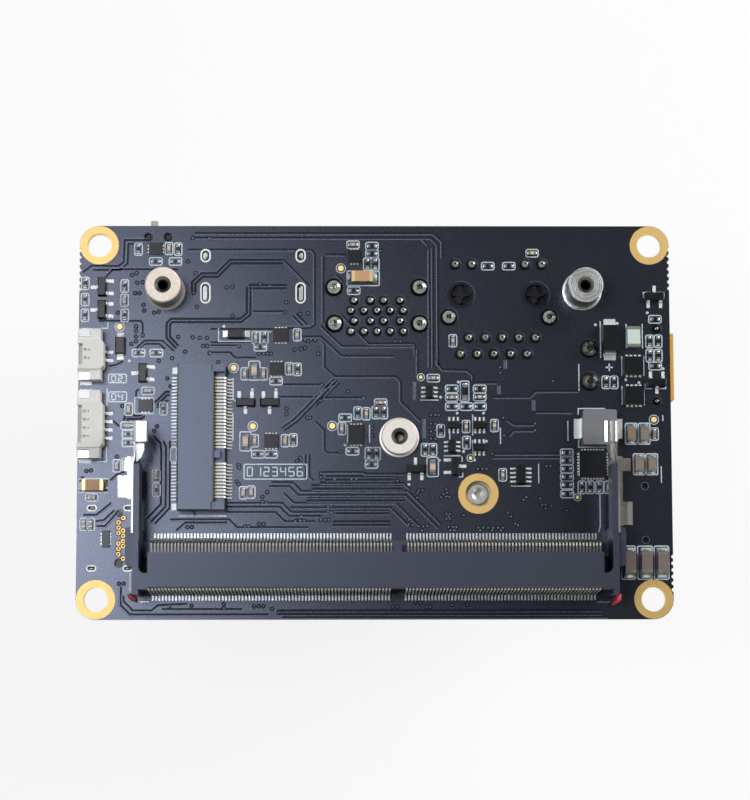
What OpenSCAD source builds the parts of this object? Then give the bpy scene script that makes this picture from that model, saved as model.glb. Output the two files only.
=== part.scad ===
// Carrier board for a plug-in compute module.
// The side with the module socket faces up (+Z). The origin is the middle of the four corner holes,
// on the board's upper face. Everything below z = -board_t is on the underside.

/* [Board] */
// Length of the board along X
board_l = 90; // [84:1:96]
// Width of the board along Y
board_w = 60; // [56:1:64]
// Thickness of the laminate
board_t = 1.6; // [1.2:0.1:2.0]
// Radius of the board's corners
corner_r = 3; // [2:0.5:3]
// Distance from a corner hole to the board's edges
hole_inset = 3; // [3:0.5:4]
// Clear diameter of a plated corner hole
corner_hole_d = 3.7; // [3.2:0.1:4.0]
// Diameter of the gold land round a corner hole
corner_land_d = 5.9; // [5.4:0.1:6.0]

/* [Module socket] */
// Height of the module socket above the board
socket_h = 9.2; // [8.0:0.1:9.6]
// Distance between the module's two standoffs
module_pitch = 63.5; // [62:0.5:65]
// Height of the module's standoffs
module_gap = 6.6; // [6.2:0.1:6.8]
// Width of the module that the socket takes
module_w = 69.6; // [68:0.1:70]
// Spacing of the socket's contacts
contact_pitch = 0.5; // [0.5:0.1:0.6]

/* [Card sockets] */
// Length of a card socket along Y
card_socket_l = 21.9; // [21.5:0.1:22.5]
// Height of a card socket above its face of the board
card_socket_h = 4.2; // [4.0:0.1:4.4]
// Height of the standoff that holds a card's far end
card_gap = 2.5; // [2.3:0.1:2.6]

/* [Wire headers] */
// Spacing of the pins in the two wire headers
header_pitch = 1.25; // [1.25:0.01:1.30]
// Height of a wire header
header_h = 3.4; // [3.0:0.1:3.6]

/* [Switch] */
// Travel of the slide switch's knob
switch_travel = 1.5; // [1.0:0.1:1.6]

/* [Hidden] */

$fn = 48;

// Board and its places
under = -board_t;
hole_x = board_l / 2 - hole_inset;
hole_y = board_w / 2 - hole_inset;
plating = 0.05;
land_t = 0.05;
drive_land_r = 3.05;
pin_hole_r = 0.5;
tab_hole_r = 1.1;
power_hole_r = 1.1;
slot_w = 0.9;
usb_c_slot_w = 0.6;
usb_c_slot_l = 1.2;
usb_c_hole_r = 0.16;
usb_c_land_r = 0.33;
// Break-off notches as [edge, first y, count]
bites = [[-1, 20.2, 7], [1, 20.4, 7], [1, -25.6, 6]];
bite_r = 0.28;
bite_pitch = 1.0;

// Module socket, in the order front (towards +Y) to rear
socket_x = 0.05;
socket_base_z = 0.3;
lip_y = -20.35;
jaw_y = -18.45;
rear_y = -25.6;
end_y = -26.5;
front_tail_y = -17.05;
rear_tail_y = -27.15;
left_contacts = 72;
right_contacts = 58;
key_gap = 2.5;
first_contact_x = -33.4;
front_row_shift = 0.25;
contact_w = 0.24;
contact_slit = 0.34;
module_t = 1.2;
slot_z = module_gap - 0.15;
slot_roof_z = module_gap + module_t + 0.25;
slot_back_y = -23.8;
body_half = 33.6;
arm_in = module_w / 2 + 0.15;
arm_out = arm_in + 0.9;
flange_out = arm_out + 1.2;
flange_h = 7.6;
flange_y = [-22.35, -16.55];
end_slot_y = -23.4;
end_step_y = -20.85;
arm_tip_y = -7.2;
arm_h = 8.5;
arm_floor = 3.4;
blade_t = 0.25;
strip_jog = 0.3;
strip_end_y = -1.0;
socket_peg_x = 30;
socket_peg_y = -22.4;

// Standoffs of the module and of the cards; a web closes the lower end of each bore
pilot_r = 1.7;
pilot_z = -1.3;
web_t = 0.2;
screw_r = 0.825;
card_screw_r = 0.8;
drive_screw_r = 0.75;
drive_hole_r = 1.95;
module_standoff_y = 19.9;
module_standoff_x = -0.1;
card_standoff_at = [3.7, -2.55];
drive_standoff_at = [15.65, -11.05];

// Card sockets
card_socket_y = -2.7;
drive_socket_y = drive_standoff_at[1];
socket_rear_x = -29.7;
socket_lip_x = -24.2;
socket_jaw_x = -22.6;
card_pin_w = 0.28;
card_tail_w = 0.2;
card_tab_y = 10.35;
card_peg_x = -26.4;
card_peg_y = 9.3;

// Wire headers, mouth towards the left edge
header_mouth_x = -44.8;
fan_at = -0.75;
clock_at = 9.85;
fan_pins = 4;
clock_pins = 2;
header_ear = 1.6;
header_d = 3.9;

// Connectors of the underside
edge_y = board_w / 2 + 0.2;
sheet = 0.3;
contact_t = 0.08;
video_w = 14.5;
video_h = 5.7;
video_d = 11.4;
video_x = -18.55;
usb_w = 13.3;
usb_h = 15.6;
usb_d = 17.6;
usb_port = [12.2, 5.0];
usb_port_z = [-1.6 - usb_port[1], -8.8 - usb_port[1]];
usb_x = 0.35;
jack_w = 15.9;
jack_h = 13.4;
jack_d = 21.3;
jack_port = [11.8, 7.6];
jack_port_z = -2.2;
jack_port_d = 13;
jack_wires = 8;
jack_wire_pitch = 1.02;
jack_lamp_x = 5.4;
jack_x = 18.88;
post_r = 1.55;
usb_c_size = [7.6, 8.94, 3.2];
usb_c_z = under - land_t - usb_c_size[2] / 2;
usb_c_y = -17.75;
usb_c_pegs = [[6.6, 3.75, 0.35], [6.6, -3.75, 0.5]];
inlet_size = [14.4, 10.2, 5.6];
inlet_front = 45.75;
power_y = 8.525;
power_pin_x = 32.7;
power_pins_y = [11.05, 6.0];
memory_size = [14.6, 14.2, 1.9];
memory_y = -14.0;
memory_pegs = [[40.9, -9.9], [40.9, -18.05]];
memory_peg_r = 0.35;
switch_size = [6.7, 2.7, 1.4];
knob_w = 1.1;
switch_x = -33.05;
switch_y = 28.3;
switch_peg_x = 1.5;
switch_peg_r = 0.4;

// Through-hole pins: usb rows as [y, offsets], jack rows as [y, first x, count]
usb_rows = [
  [18.45, [-3.5, -1, 1, 3.5]],
  [16.9, [-4, -2, 0, 2, 4]],
  [15.3, [-3.5, -1, 1, 3.5]],
  [13.7, [-4, -2, 0, 2, 4]]
];
usb_tabs = [[-6.2, 20.5], [6.85, 20.5], [-6.1, 14.9], [6.85, 14.9]];
jack_rows = [[12.75, 14.32, 5], [10.25, 13.05, 5]];
jack_lamps = [[12.3, 24.05], [14.84, 24.05], [23.0, 24.05], [25.54, 24.05]];
jack_tabs = [[11.3, 15.9], [26.6, 15.9]];
jack_posts = [[13.17, 19.35], [24.6, 19.35]];
video_tabs = [[-7.25, 25.4, 2.0], [7.25, 25.4, 2.0], [-7.25, 19.65, 3.2], [7.25, 19.65, 3.2]];
usb_c_tabs = [[-42.7, 4.55], [-42.7, -4.55], [-37.2, 4.55], [-37.2, -4.55]];
usb_c_holes = [
  [-37.95, -14.7], [-38.65, -15.35], [-38.65, -16.15], [-37.95, -16.6], [-38.65, -16.95],
  [-37.95, -17.4], [-37.95, -18.2], [-38.65, -18.55], [-37.95, -18.95], [-38.65, -19.35],
  [-38.65, -20.15], [-37.95, -20.8]
];
loose_joints = [[42.95, 14.1, 0.65], [42.85, 3.0, 0.55]];

// Small parts, each [x, y, turn]: turn 0 lies along X, turn 90 along Y
resistors = [
  [-36.05, 26.4, 90], [-33.4, 24.5, 0], [-30.4, 24.5, 0], [-30.0, 26.4, 90], [-44.1, 21.1, 90],
  [-38.1, 20.7, 90], [-0.4, 26.9, 0], [-0.4, 25.7, 0], [-1.1, 24.1, 90], [0.1, 24.1, 90],
  [-3.2, 20.0, 0], [17.3, 23.8, 0], [20.5, 23.8, 0], [-44.1, 18.6, 90], [-44.1, 16.2, 90],
  [-38.05, 16.2, 90], [-35.9, 10.4, 0], [-33.2, 10.4, 0], [-16.8, 12.8, 90], [-17.4, 11.3, 0],
  [42.75, 15.6, 0], [41.9, 12.2, 90], [43.2, 12.2, 90], [41.9, 10.0, 90], [43.2, 10.0, 90],
  [42.7, 8.4, 0], [35.15, 5.9, 90], [36.4, 5.9, 90], [-32.05, 1.9, 90], [-15.0, 6.1, 0],
  [-11.75, 7.9, 90], [-4.5, 0.5, 0], [-2.6, 1.2, 90], [0.15, 1.3, 90], [1.35, 1.3, 90],
  [11.7, 4.9, 0], [11.7, 2.2, 0], [13.85, 2.2, 0], [15.95, 4.9, 0], [15.95, 2.2, 0],
  [-37.3, -2.0, 0], [-37.3, -3.3, 0], [-17.7, -5.05, 0], [-15.7, -5.05, 0], [-12.35, -2.9, 90],
  [-3.4, -4.6, 0], [-0.9, -5.0, 90], [0.25, -5.0, 90], [-0.5, -6.6, 0], [7.6, -4.4, 90],
  [8.8, -4.4, 90], [10.0, -1.5, 90], [13.9, -3.3, 90], [29.1, -4.85, 0], [29.1, -6.05, 0],
  [29.1, -7.3, 0], [29.1, -8.55, 0], [29.1, -9.75, 0], [29.1, -11.1, 0], [31.35, -10.1, 90],
  [32.6, -10.1, 90], [34.0, -10.1, 90], [-33.0, -10.5, 90]
];
ceramics_small = [
  [-31.4, 26.5, 90], [-3.3, 27.1, 0], [24.1, 25.8, 0], [-38.1, 18.5, 90], [-18.1, 12.8, 90],
  [-11.8, 13.2, 90], [11.9, 12.3, 90], [-34.4, 4.6, 0], [-37.3, 1.8, 90], [-19.75, 7.2, 90],
  [-16.9, 7.2, 90], [-13.0, 8.0, 90], [-1.3, 1.1, 90], [0.9, 2.8, 0], [8.9, 6.55, 0],
  [11.7, 3.6, 0], [15.95, 3.65, 0], [-37.5, -0.7, 0], [-39.0, -6.8, 90], [-33.05, -8.35, 90],
  [-18.2, -3.0, 90], [-13.6, -3.0, 90], [-5.0, -1.15, 90], [13.85, -0.85, 90], [18.15, -0.7, 90],
  [19.35, -8.2, 90], [42.45, -2.0, 90], [35.3, -10.1, 90], [-19.9, -10.9, 90], [-18.7, -10.8, 90],
  [-42.75, -11.6, 0], [-43.9, -15.65, 90], [-42.85, -15.65, 90]
];
ceramics_medium = [[-18.3, 7.7, 90], [-19.6, -3.1, 90], [8.75, -7.0, 90]];
ceramics_large = [[38.9, -1.95, 90], [40.9, -1.95, 90], [40.05, -6.6, 90], [42.0, -6.6, 90]];
ceramics_bulk = [
  [-1.9, 22.05, 0], [-42.5, -9.8, 0], [38.45, -21.5, 90], [40.95, -21.5, 90], [43.4, -21.5, 90]
];
fuse_at = [39.45, 12.85, 90];
indicator_at = [13.7, 4.5, 90];
// Sizes as [length, width, height, end cap length]
size_resistor = [1.0, 0.5, 0.32, 0.22];
size_small = [1.0, 0.5, 0.5, 0.24];
size_medium = [1.6, 0.85, 0.8, 0.34];
size_large = [2.0, 1.25, 1.1, 0.42];
size_bulk = [3.2, 1.65, 1.5, 0.5];
size_fuse = [3.1, 2.0, 0.75, 0.45];
size_indicator = [1.9, 0.8, 0.5, 0.35];

// Three-legged parts as [x, y, turn]; at turn 0 the single leg points to +Y
three_legged = [
  [-41.5, 20.5, 90], [-41.5, 17.0, 90], [-35.2, 7.3, 90], [42.7, 19.05, 0], [42.9, 5.85, 180],
  [-19.6, 2.8, 180], [-15.95, 2.8, 180], [12.15, -6.9, 270], [6.15, -7.3, 0]
];
// Six- and eight-legged parts as [x, y, turn, legs a side]; at turn 0 the legs point along Y
many_legged = [
  [8.3, 4.4, 90, 3], [11.95, -0.65, 0, 3], [15.9, -0.65, 0, 3], [11.7, -3.9, 90, 3],
  [15.85, -4.05, 0, 3], [22.1, -8.25, 90, 4]
];
leg_pitch = 0.65;
lead_t = 0.14;
// Leadless chips as [x, y, width, depth, pads a side, turn]; at turn 0 the pads face +Y and -Y
leadless = [
  [-33.4, 26.4, 1.8, 2.0, 3, 90], [-3.1, 25.2, 1.9, 2.0, 3, 0], [-34.75, 2.35, 2.1, 1.8, 3, 0],
  [-14.3, 13.1, 2.2, 2.1, 4, 0], [-14.95, 7.95, 2.0, 2.0, 4, 0], [-15.7, -3.05, 2.1, 2.1, 4, 0],
  [-2.85, -2.1, 2.3, 3.0, 4, 0], [-40.55, -17.85, 2.5, 1.1, 4, 90]
];
power_chips = [[39.35, 8.4], [39.4, 3.85]];
power_chip_size = [2.9, 2.8];
controller_at = [33.0, -6.6];
controller_size = 4.1;
inductor_at = [33.9, -1.2];
inductor_size = [5.1, 5.3, 3.0];
inductor_foot_w = 3.0;
inductor_reach = 1.1;
rectifier_at = [35.8, 12.45];
rectifier_size = [4.3, 2.7, 2.2];
diode_size = [2.65, 1.55, 1.1];
three_legged_size = [2.9, 1.3, 1.05];
diodes = [[-38.65, 11.45, 90], [-21.05, 13.3, 0]];
spots = [
  [-5.15, 23.45, 0.43], [-38.8, 14.45, 0.43], [-21.45, 8.1, 0.43], [-18.5, -0.8, 0.45],
  [-6.45, -0.75, 0.45], [42.4, 0.2, 0.43], [7.0, 6.7, 0.27], [14.5, -5.65, 0.27],
  [30.65, -11.6, 0.27]
];

// Flat rectangle with round corners, centred
module round_rect(l, w, r) {
  square([l - 2 * r, w], center = true);
  square([l, w - 2 * r], center = true);
  for (sx = [-1, 1], sy = [-1, 1])
    translate([sx * (l / 2 - r), sy * (w / 2 - r)]) circle(r = r);
}

// Flat slot with round ends, along Y, of width w and overall length l
module slot_shape(w, l) {
  square([w, l - w], center = true);
  for (s = [-1, 1]) translate([0, s * (l - w) / 2]) circle(d = w);
}

// Outline drawn in Y and Z, drawn out along X from x0 to x1
module along_x(x0, x1) {
  translate([x0, 0, 0]) rotate([90, 0, 90]) linear_extrude(x1 - x0) children();
}

// Outline drawn in X and Z, drawn out along Y from y0 to y1
module along_y(y0, y1) {
  translate([0, y1, 0]) rotate([90, 0, 0]) linear_extrude(y1 - y0) children();
}

// Box between two opposite corners
module box(a, b) {
  translate(a) cube(b - a);
}

// What is drawn for the upper face, turned over to the underside about the board's middle plane
module on_underside() {
  translate([0, 0, under]) mirror([0, 0, 1]) children();
}

module at_corners() {
  for (sx = [-1, 1], sy = [-1, 1]) translate([sx * hole_x, sy * hole_y, 0]) children();
}

function usb_pin_places() = [for (row = usb_rows) for (dx = row[1]) [usb_x + dx, row[0]]];
function jack_pin_places() = concat(
  [for (row = jack_rows) for (i = [0:row[2] - 1]) [row[1] + i * 2.54, row[0]]], jack_lamps);

// Locating holes as [x, y, radius]
peg_holes = concat(
  [for (s = [-1, 1]) [switch_x + s * switch_peg_x, switch_y, switch_peg_r + 0.2]],
  [for (p = memory_pegs) [p[0], p[1], memory_peg_r + 0.05]],
  [for (p = usb_c_pegs) [p[0] - board_l / 2 - 0.2, usb_c_y + p[1], p[2] + 0.1]],
  [for (y = [card_socket_y, drive_socket_y]) [card_peg_x, y + card_peg_y, 0.6]],
  [for (y = [card_socket_y, drive_socket_y]) [card_peg_x, y - card_peg_y, 0.85]],
  [for (s = [-1, 1]) [socket_x + s * socket_peg_x, socket_peg_y, 0.85]]);

// Laminate with every hole that goes through it
module board() {
  color("#24262b") difference() {
    translate([0, 0, under]) linear_extrude(board_t) round_rect(board_l, board_w, corner_r);
    at_corners() through(corner_hole_d / 2 + plating);
    for (p = peg_holes) translate([p[0], p[1], 0]) through(p[2]);
    for (s = [-1, 1]) translate([module_standoff_x + s * module_pitch / 2, module_standoff_y, 0])
      through(pilot_r + 0.05);
    translate([card_standoff_at[0], card_standoff_at[1], 0]) through(pilot_r + 0.05);
    translate([drive_standoff_at[0], drive_standoff_at[1], 0]) through(drive_hole_r + plating);
    for (p = jack_posts) translate([p[0], p[1], 0]) through(post_r + 0.05);
    for (p = usb_pin_places()) translate([p[0], p[1], 0]) through(pin_hole_r);
    for (p = jack_pin_places()) translate([p[0], p[1], 0]) through(pin_hole_r);
    for (p = usb_tabs) translate([p[0], p[1], 0]) through(tab_hole_r);
    for (p = jack_tabs) translate([p[0], p[1], 0]) through(tab_hole_r);
    for (y = power_pins_y) translate([power_pin_x, y, 0]) through(power_hole_r);
    for (p = video_tabs) translate([video_x + p[0], p[1], under - 1])
      linear_extrude(board_t + 2) slot_shape(slot_w, p[2] - 0.6);
    for (p = usb_c_tabs) translate([p[0], usb_c_y + p[1], under - 1])
      linear_extrude(board_t + 2) rotate(90) slot_shape(usb_c_slot_w, usb_c_slot_l);
    for (p = usb_c_holes) translate([p[0], p[1], 0]) through(usb_c_hole_r + plating);
    for (b = bites) for (i = [0:b[2] - 1])
      translate([b[0] * board_l / 2, b[1] + i * bite_pitch, 0]) through(bite_r);
  }
}

// Drill through the board at the present place
module through(r) {
  translate([0, 0, under - 1]) cylinder(r = r, h = board_t + 2);
}

// Gold land on both faces, joined by the plating of the hole
module plated_hole(r_in, r_out) {
  top = land_t;
  low = under - land_t;
  rotate_extrude() polygon([
    [r_in, low], [r_out, low], [r_out, under], [r_in + plating, under], [r_in + plating, 0],
    [r_out, 0], [r_out, top], [r_in, top]
  ]);
}

module plated_lands() {
  color("#d9b261") {
    at_corners() plated_hole(corner_hole_d / 2, corner_land_d / 2);
    translate([drive_standoff_at[0], drive_standoff_at[1], 0]) plated_hole(drive_hole_r, drive_land_r);
    for (p = usb_c_holes) translate([p[0], p[1], 0]) plated_hole(usb_c_hole_r, usb_c_land_r);
  }
}

module test_points() {
  color("#f0d98a") for (p = spots) translate([p[0], p[1], 0]) cylinder(r = p[2], h = land_t);
}

// Tinned lands round the slots of the shield tabs
module slot_lands() {
  color("#cfd2cf") {
    for (p = video_tabs) translate([video_x + p[0], p[1], 0]) linear_extrude(land_t)
      difference() {
        slot_shape(1.6, p[2] + 0.1);
        slot_shape(slot_w, p[2] - 0.6);
      }
    for (p = usb_c_tabs) translate([p[0], usb_c_y + p[1], 0]) linear_extrude(land_t)
      rotate(90) difference() {
        slot_shape(1.0, 1.55);
        slot_shape(usb_c_slot_w, usb_c_slot_l);
      }
  }
}

// Domed solder joint with the clipped end of a pin in its middle
module solder_cone(r, h, tip_r) {
  rotate_extrude() polygon([
    [0, 0], [r, 0], [r * 0.94, h * 0.2], [r * 0.75, h * 0.5], [tip_r + 0.12, h * 0.76],
    [tip_r, h * 0.84], [tip_r, h * 0.94], [tip_r - 0.07, h], [0, h]
  ]);
}

module solder_joints() {
  color("#c9cdcc") {
    for (p = usb_pin_places()) translate([p[0], p[1], 0]) solder_cone(0.68, 0.85, 0.26);
    for (p = jack_pin_places()) translate([p[0], p[1], 0]) solder_cone(0.78, 0.9, 0.26);
    for (p = usb_tabs) translate([p[0], p[1], 0]) solder_cone(1.35, 0.9, 0.55);
    for (p = jack_tabs) translate([p[0], p[1], 0]) solder_cone(1.25, 0.95, 0.5);
    for (y = power_pins_y) translate([power_pin_x, y, 0]) solder_cone(1.35, 1.4, 0.6);
    for (p = loose_joints) translate([p[0], p[1], 0]) solder_cone(p[2], 0.5, 0.2);
  }
}

// Module socket. Contact i counts from the left; the key gap follows contact left_contacts - 1
function contact_x(i) = first_contact_x + i * contact_pitch
  + (i >= left_contacts ? key_gap - contact_pitch : 0);
contact_count = left_contacts + right_contacts;
key_x = contact_x(left_contacts - 1) + key_gap / 2;

// The two runs of contacts, with room beside them; shift moves them to the front row's places
function contact_groups(shift) = [
  [contact_x(0) + shift - contact_slit / 2, contact_x(left_contacts - 1) + shift + contact_slit / 2],
  [contact_x(left_contacts) + shift - contact_slit / 2,
   contact_x(contact_count - 1) + shift + contact_slit / 2]
];

module module_socket_housing() {
  color("#2f333a") difference() {
    union() {
      along_x(socket_x - body_half, socket_x + body_half) polygon([
        [rear_y, socket_base_z], [rear_y, socket_h - 0.2], [rear_y + 0.2, socket_h],
        [lip_y, socket_h], [lip_y, slot_roof_z + 0.3], [lip_y - 0.3, slot_roof_z],
        [slot_back_y, slot_roof_z], [slot_back_y, slot_z], [jaw_y - 0.25, slot_z],
        [jaw_y, slot_z - 0.25], [jaw_y, socket_base_z]
      ]);
      // Key that the notch in the module's edge passes over
      box([key_x - 0.55, slot_back_y, slot_z - 0.2], [key_x + 0.55, jaw_y - 0.6, slot_roof_z + 0.2]);
      for (s = [-1, 1]) socket_end(s);
      // Locating pegs
      for (s = [-1, 1]) translate([socket_x + s * socket_peg_x, socket_peg_y, -1.2])
        cylinder(r = 0.75, h = 1.2 + 2 * socket_base_z);
    }
    // Slits along the slot's roof for the rear row
    for (g = contact_groups(0))
      box([g[0], rear_y - 0.1, slot_roof_z], [g[1], lip_y - 0.9, slot_roof_z + 0.35]);
    // Slits in the jaw for the front row, and the slope that its risers lie on
    for (g = contact_groups(front_row_shift)) {
      box([g[0], slot_back_y + 2.2, slot_z - 1], [g[1], jaw_y - 0.5, slot_z + 0.1]);
      along_x(g[0], g[1]) polygon([
        [jaw_y + 0.1, 1.9], [jaw_y + 0.1, slot_z + 0.1], [jaw_y - 0.58, slot_z + 0.1],
        [jaw_y - 0.58, slot_z], [jaw_y + 0.02, 1.9]
      ]);
    }
    for (s = [-1, 1]) {
      // Open well at the rear corner, beside the last contact
      side_box(s, body_half - 0.1, arm_in, end_y - 0.1, rear_y - 0.15, 1.2, socket_h + 1);
      // Room beside the last riser
      side_box(s, body_half - 0.2, body_half + 0.05, end_y - 0.1, rear_y - 0.02, 0, socket_h + 1);
      // Groove in the flange that takes the rear end of the latch
      side_box(s, arm_out, arm_out + blade_t + 0.05, -17.6, flange_y[1] + 0.1, arm_floor + 0.3,
               socket_h);
    }
  }
}

// End of the socket: the block, the slot for the module's edge, the outer flange and the long arm
module socket_end(s) {
  side_box(s, body_half - 0.1, arm_in + 0.1, end_y, end_slot_y, socket_base_z, socket_h);
  side_box(s, arm_in, arm_out, end_y, jaw_y, socket_base_z, socket_h);
  // Two floors of the slot and its round corner
  side_box(s, body_half - 0.1, arm_in, end_slot_y - 0.1, end_step_y - 0.08, socket_base_z, 1.3);
  side_box(s, body_half - 0.1, arm_in, end_step_y + 0.08, jaw_y, socket_base_z, 2.2);
  translate([socket_x, 0, socket_base_z]) scale([s, 1, 1])
    linear_extrude(socket_h - socket_base_z) difference() {
      translate([arm_in - 1, end_slot_y - 0.1]) square([1.1, 1.1]);
      translate([arm_in - 1, end_slot_y + 1]) circle(r = 1);
    }
  translate([socket_x, 0, socket_base_z]) scale([s, 1, 1])
    translate([(arm_out + flange_out) / 2 - 0.4, (flange_y[0] + flange_y[1]) / 2])
      linear_extrude(flange_h - socket_base_z)
        round_rect(flange_out - arm_out + 0.8, flange_y[1] - flange_y[0], 0.6);
  side_box(s, arm_in, arm_out, jaw_y - 0.1, arm_tip_y, arm_floor, arm_h);
  side_box(s, arm_in, arm_out, jaw_y - 0.1, flange_y[1], socket_base_z, arm_floor + 0.1);
}

module side_box(s, x0, x1, y0, y1, z0, z1) {
  box([socket_x + min(s * x0, s * x1), y0, z0], [socket_x + max(s * x0, s * x1), y1, z1]);
}

// Contact of the front row: foot on the board, riser and the springy blade under the module
module module_socket_front_contacts() {
  color("#c8c6b4") for (i = [0:contact_count - 1]) translate([front_row_shift, 0, 0])
    along_x(contact_x(i) - contact_w / 2, contact_x(i) + contact_w / 2) polygon([
      [front_tail_y, 0], [front_tail_y, 0.2], [front_tail_y - 0.7, 0.2], [jaw_y + 0.45, 0.6],
      [jaw_y - 0.28, slot_z], [jaw_y - 0.4, slot_z + 0.3], [jaw_y - 0.85, slot_z + 0.45],
      [jaw_y - 2.45, slot_z + 0.2], [jaw_y - 2.45, slot_z], [jaw_y - 0.85, slot_z + 0.25],
      [jaw_y - 0.6, slot_z + 0.1], [jaw_y - 0.5, slot_z - 0.05], [jaw_y + 0.23, 0.6],
      [jaw_y + 0.5, 0]
    ]);
}

// Contact of the rear row: foot, riser on the rear wall and the blade along the slot's roof
module module_socket_rear_contacts() {
  color("#c8c6b4") for (i = [0:contact_count - 1])
    along_x(contact_x(i) - contact_w / 2, contact_x(i) + contact_w / 2) polygon([
      [rear_tail_y, 0], [rear_tail_y, 0.2], [rear_y - 0.85, 0.2], [rear_y - 0.8, 0.4],
      [rear_y - 0.25, slot_roof_z + 0.1], [rear_y - 0.1, slot_roof_z + 0.3],
      [slot_back_y + 1.2, slot_roof_z + 0.3], [slot_back_y + 2.3, slot_roof_z],
      [slot_back_y + 2.3, slot_roof_z - 0.15], [slot_back_y + 1.0, slot_roof_z + 0.1],
      [rear_y - 0.05, slot_roof_z + 0.1], [rear_y - 0.6, 0.35], [rear_y - 0.7, 0]
    ]);
}

// Outline in X and Y on a socket arm, X counted outwards from the socket's middle
module on_arm(s, z) {
  translate([socket_x, 0, z]) scale([s, 1, 1]) children();
}

// Wall of the latch on the outside of the arm, bent out along the board as far as X = out
module latch_foot(s, y0, y1, out) {
  strip = arm_out + blade_t;
  on_arm(s, 0) along_y(y0, y1) polygon([
    [arm_out, 0], [out, 0], [out, blade_t], [strip + 0.4, blade_t], [strip + 0.12, blade_t + 0.12],
    [strip, blade_t + 0.45], [strip, arm_floor + 0.5], [arm_out, arm_floor + 0.5]
  ]);
}

// Stamped latch on a socket arm: strip along the arm, flange and feet on the board, hook over the
// module and finger tab. The flange ends at Y = rear; each foot is [rear y, front y, X of its end]
module socket_latch(s, rear, feet) {
  strip = arm_out + blade_t;
  color("#d4d7d8") {
    side_box(s, arm_out, strip, -17.45, arm_tip_y + 0.1, arm_floor + 0.4, arm_h);
    on_arm(s, 5.2) linear_extrude(arm_h - 5.2) polygon([
      [arm_out, arm_tip_y + 0.05], [strip, arm_tip_y + 0.05], [strip - strip_jog, -6.3],
      [strip - strip_jog, strip_end_y], [arm_out - strip_jog, strip_end_y],
      [arm_out - strip_jog, -6.3]
    ]);
    latch_foot(s, rear, -5.4, 37.45);
    for (f = feet) latch_foot(s, f[0], f[1], f[2]);
    // Hook: a leaf that tapers towards the arm, slit beside the strip
    on_arm(s, arm_h - 0.05) linear_extrude(blade_t + 0.05) polygon([
      [arm_out - 0.05, -4.3], [arm_out - 1.6, -4.3], [arm_out - 1.6, -5.2],
      [arm_out - 1.2, -6.2], [arm_out - 0.6, -6.9], [arm_out - 0.42, -7.0],
      [arm_out - 0.42, -5.2], [arm_out - 0.05, -5.2]
    ]);
    // Finger tab: flat on top, curved down on its inner side
    on_arm(s, arm_h) along_y(-4.0, strip_end_y + 0.05) polygon([
      [arm_out - 0.05, -0.2], [arm_out + 0.05, 0.2], [arm_out - 0.1, 0.55], [arm_out - 0.4, 0.7],
      [arm_out - 1.55, 0.7], [arm_out - 1.95, 0.5], [arm_out - 2.15, 0.1],
      [arm_out - 2.15, -0.05], [arm_out - 1.9, -0.05], [arm_out - 1.87, 0.1],
      [arm_out - 1.75, 0.35], [arm_out - 1.5, 0.45], [arm_out - 0.45, 0.45],
      [arm_out - 0.25, 0.35], [arm_out - 0.2, 0.15], [arm_out - 0.3, -0.2]
    ]);
  }
}

module module_latch_left() {
  socket_latch(-1, -11.85, [[-7.6, -5.6, 38.3], [-11.6, -8.3, 38.9]]);
}

module module_latch_right() {
  socket_latch(1, -15.95, [[-7.65, -5.7, 38.7], [-15.8, -12.3, 38.9]]);
}

// Round standoff with a flange on the board, a groove above it and a countersunk bore
module standoff(h, head_r, bore_r) {
  rotate_extrude() polygon([
    [0, pilot_z], [pilot_r, pilot_z], [pilot_r, 0], [3.0, 0], [3.0, 0.45], [2.4, 0.55],
    [2.4, 0.95], [head_r, 1.1], [head_r, h - 0.15], [head_r - 0.15, h], [1.27, h],
    [bore_r, h - 0.45], [bore_r, pilot_z + web_t], [0, pilot_z + web_t]
  ]);
}

module module_standoff_left() {
  color("#e3ddcb") translate([module_standoff_x - module_pitch / 2, module_standoff_y, 0])
    standoff(module_gap, 2.65, screw_r);
}

module module_standoff_right() {
  color("#cdd0cd") translate([module_standoff_x + module_pitch / 2, module_standoff_y, 0])
    standoff(module_gap, 2.65, screw_r);
}

module card_standoff() {
  color("#dedbd3") translate([card_standoff_at[0], card_standoff_at[1], 0])
    standoff(card_gap, 2.75, card_screw_r);
}

// The drive's standoff hangs on the underside; its recessed pilot shows in the plated hole
module drive_standoff() {
  color("#d8dad6") translate([drive_standoff_at[0], drive_standoff_at[1], under - land_t])
    rotate_extrude() polygon([
      [drive_screw_r, -card_gap], [2.75, -card_gap], [2.75, 0], [1.6, 0], [1.6, 0.9],
      [1.45, 1.05], [1.0, 1.05], [0.55, 0.75], [0.55, 0.05], [0, 0.05],
      [0, -0.25], [drive_screw_r, -0.25]
    ]);
}

// Card socket: key_first and key_last are the pin numbers left out at its key
function card_pin_y(n) = -9 + 0.25 * (n - 2);

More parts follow.
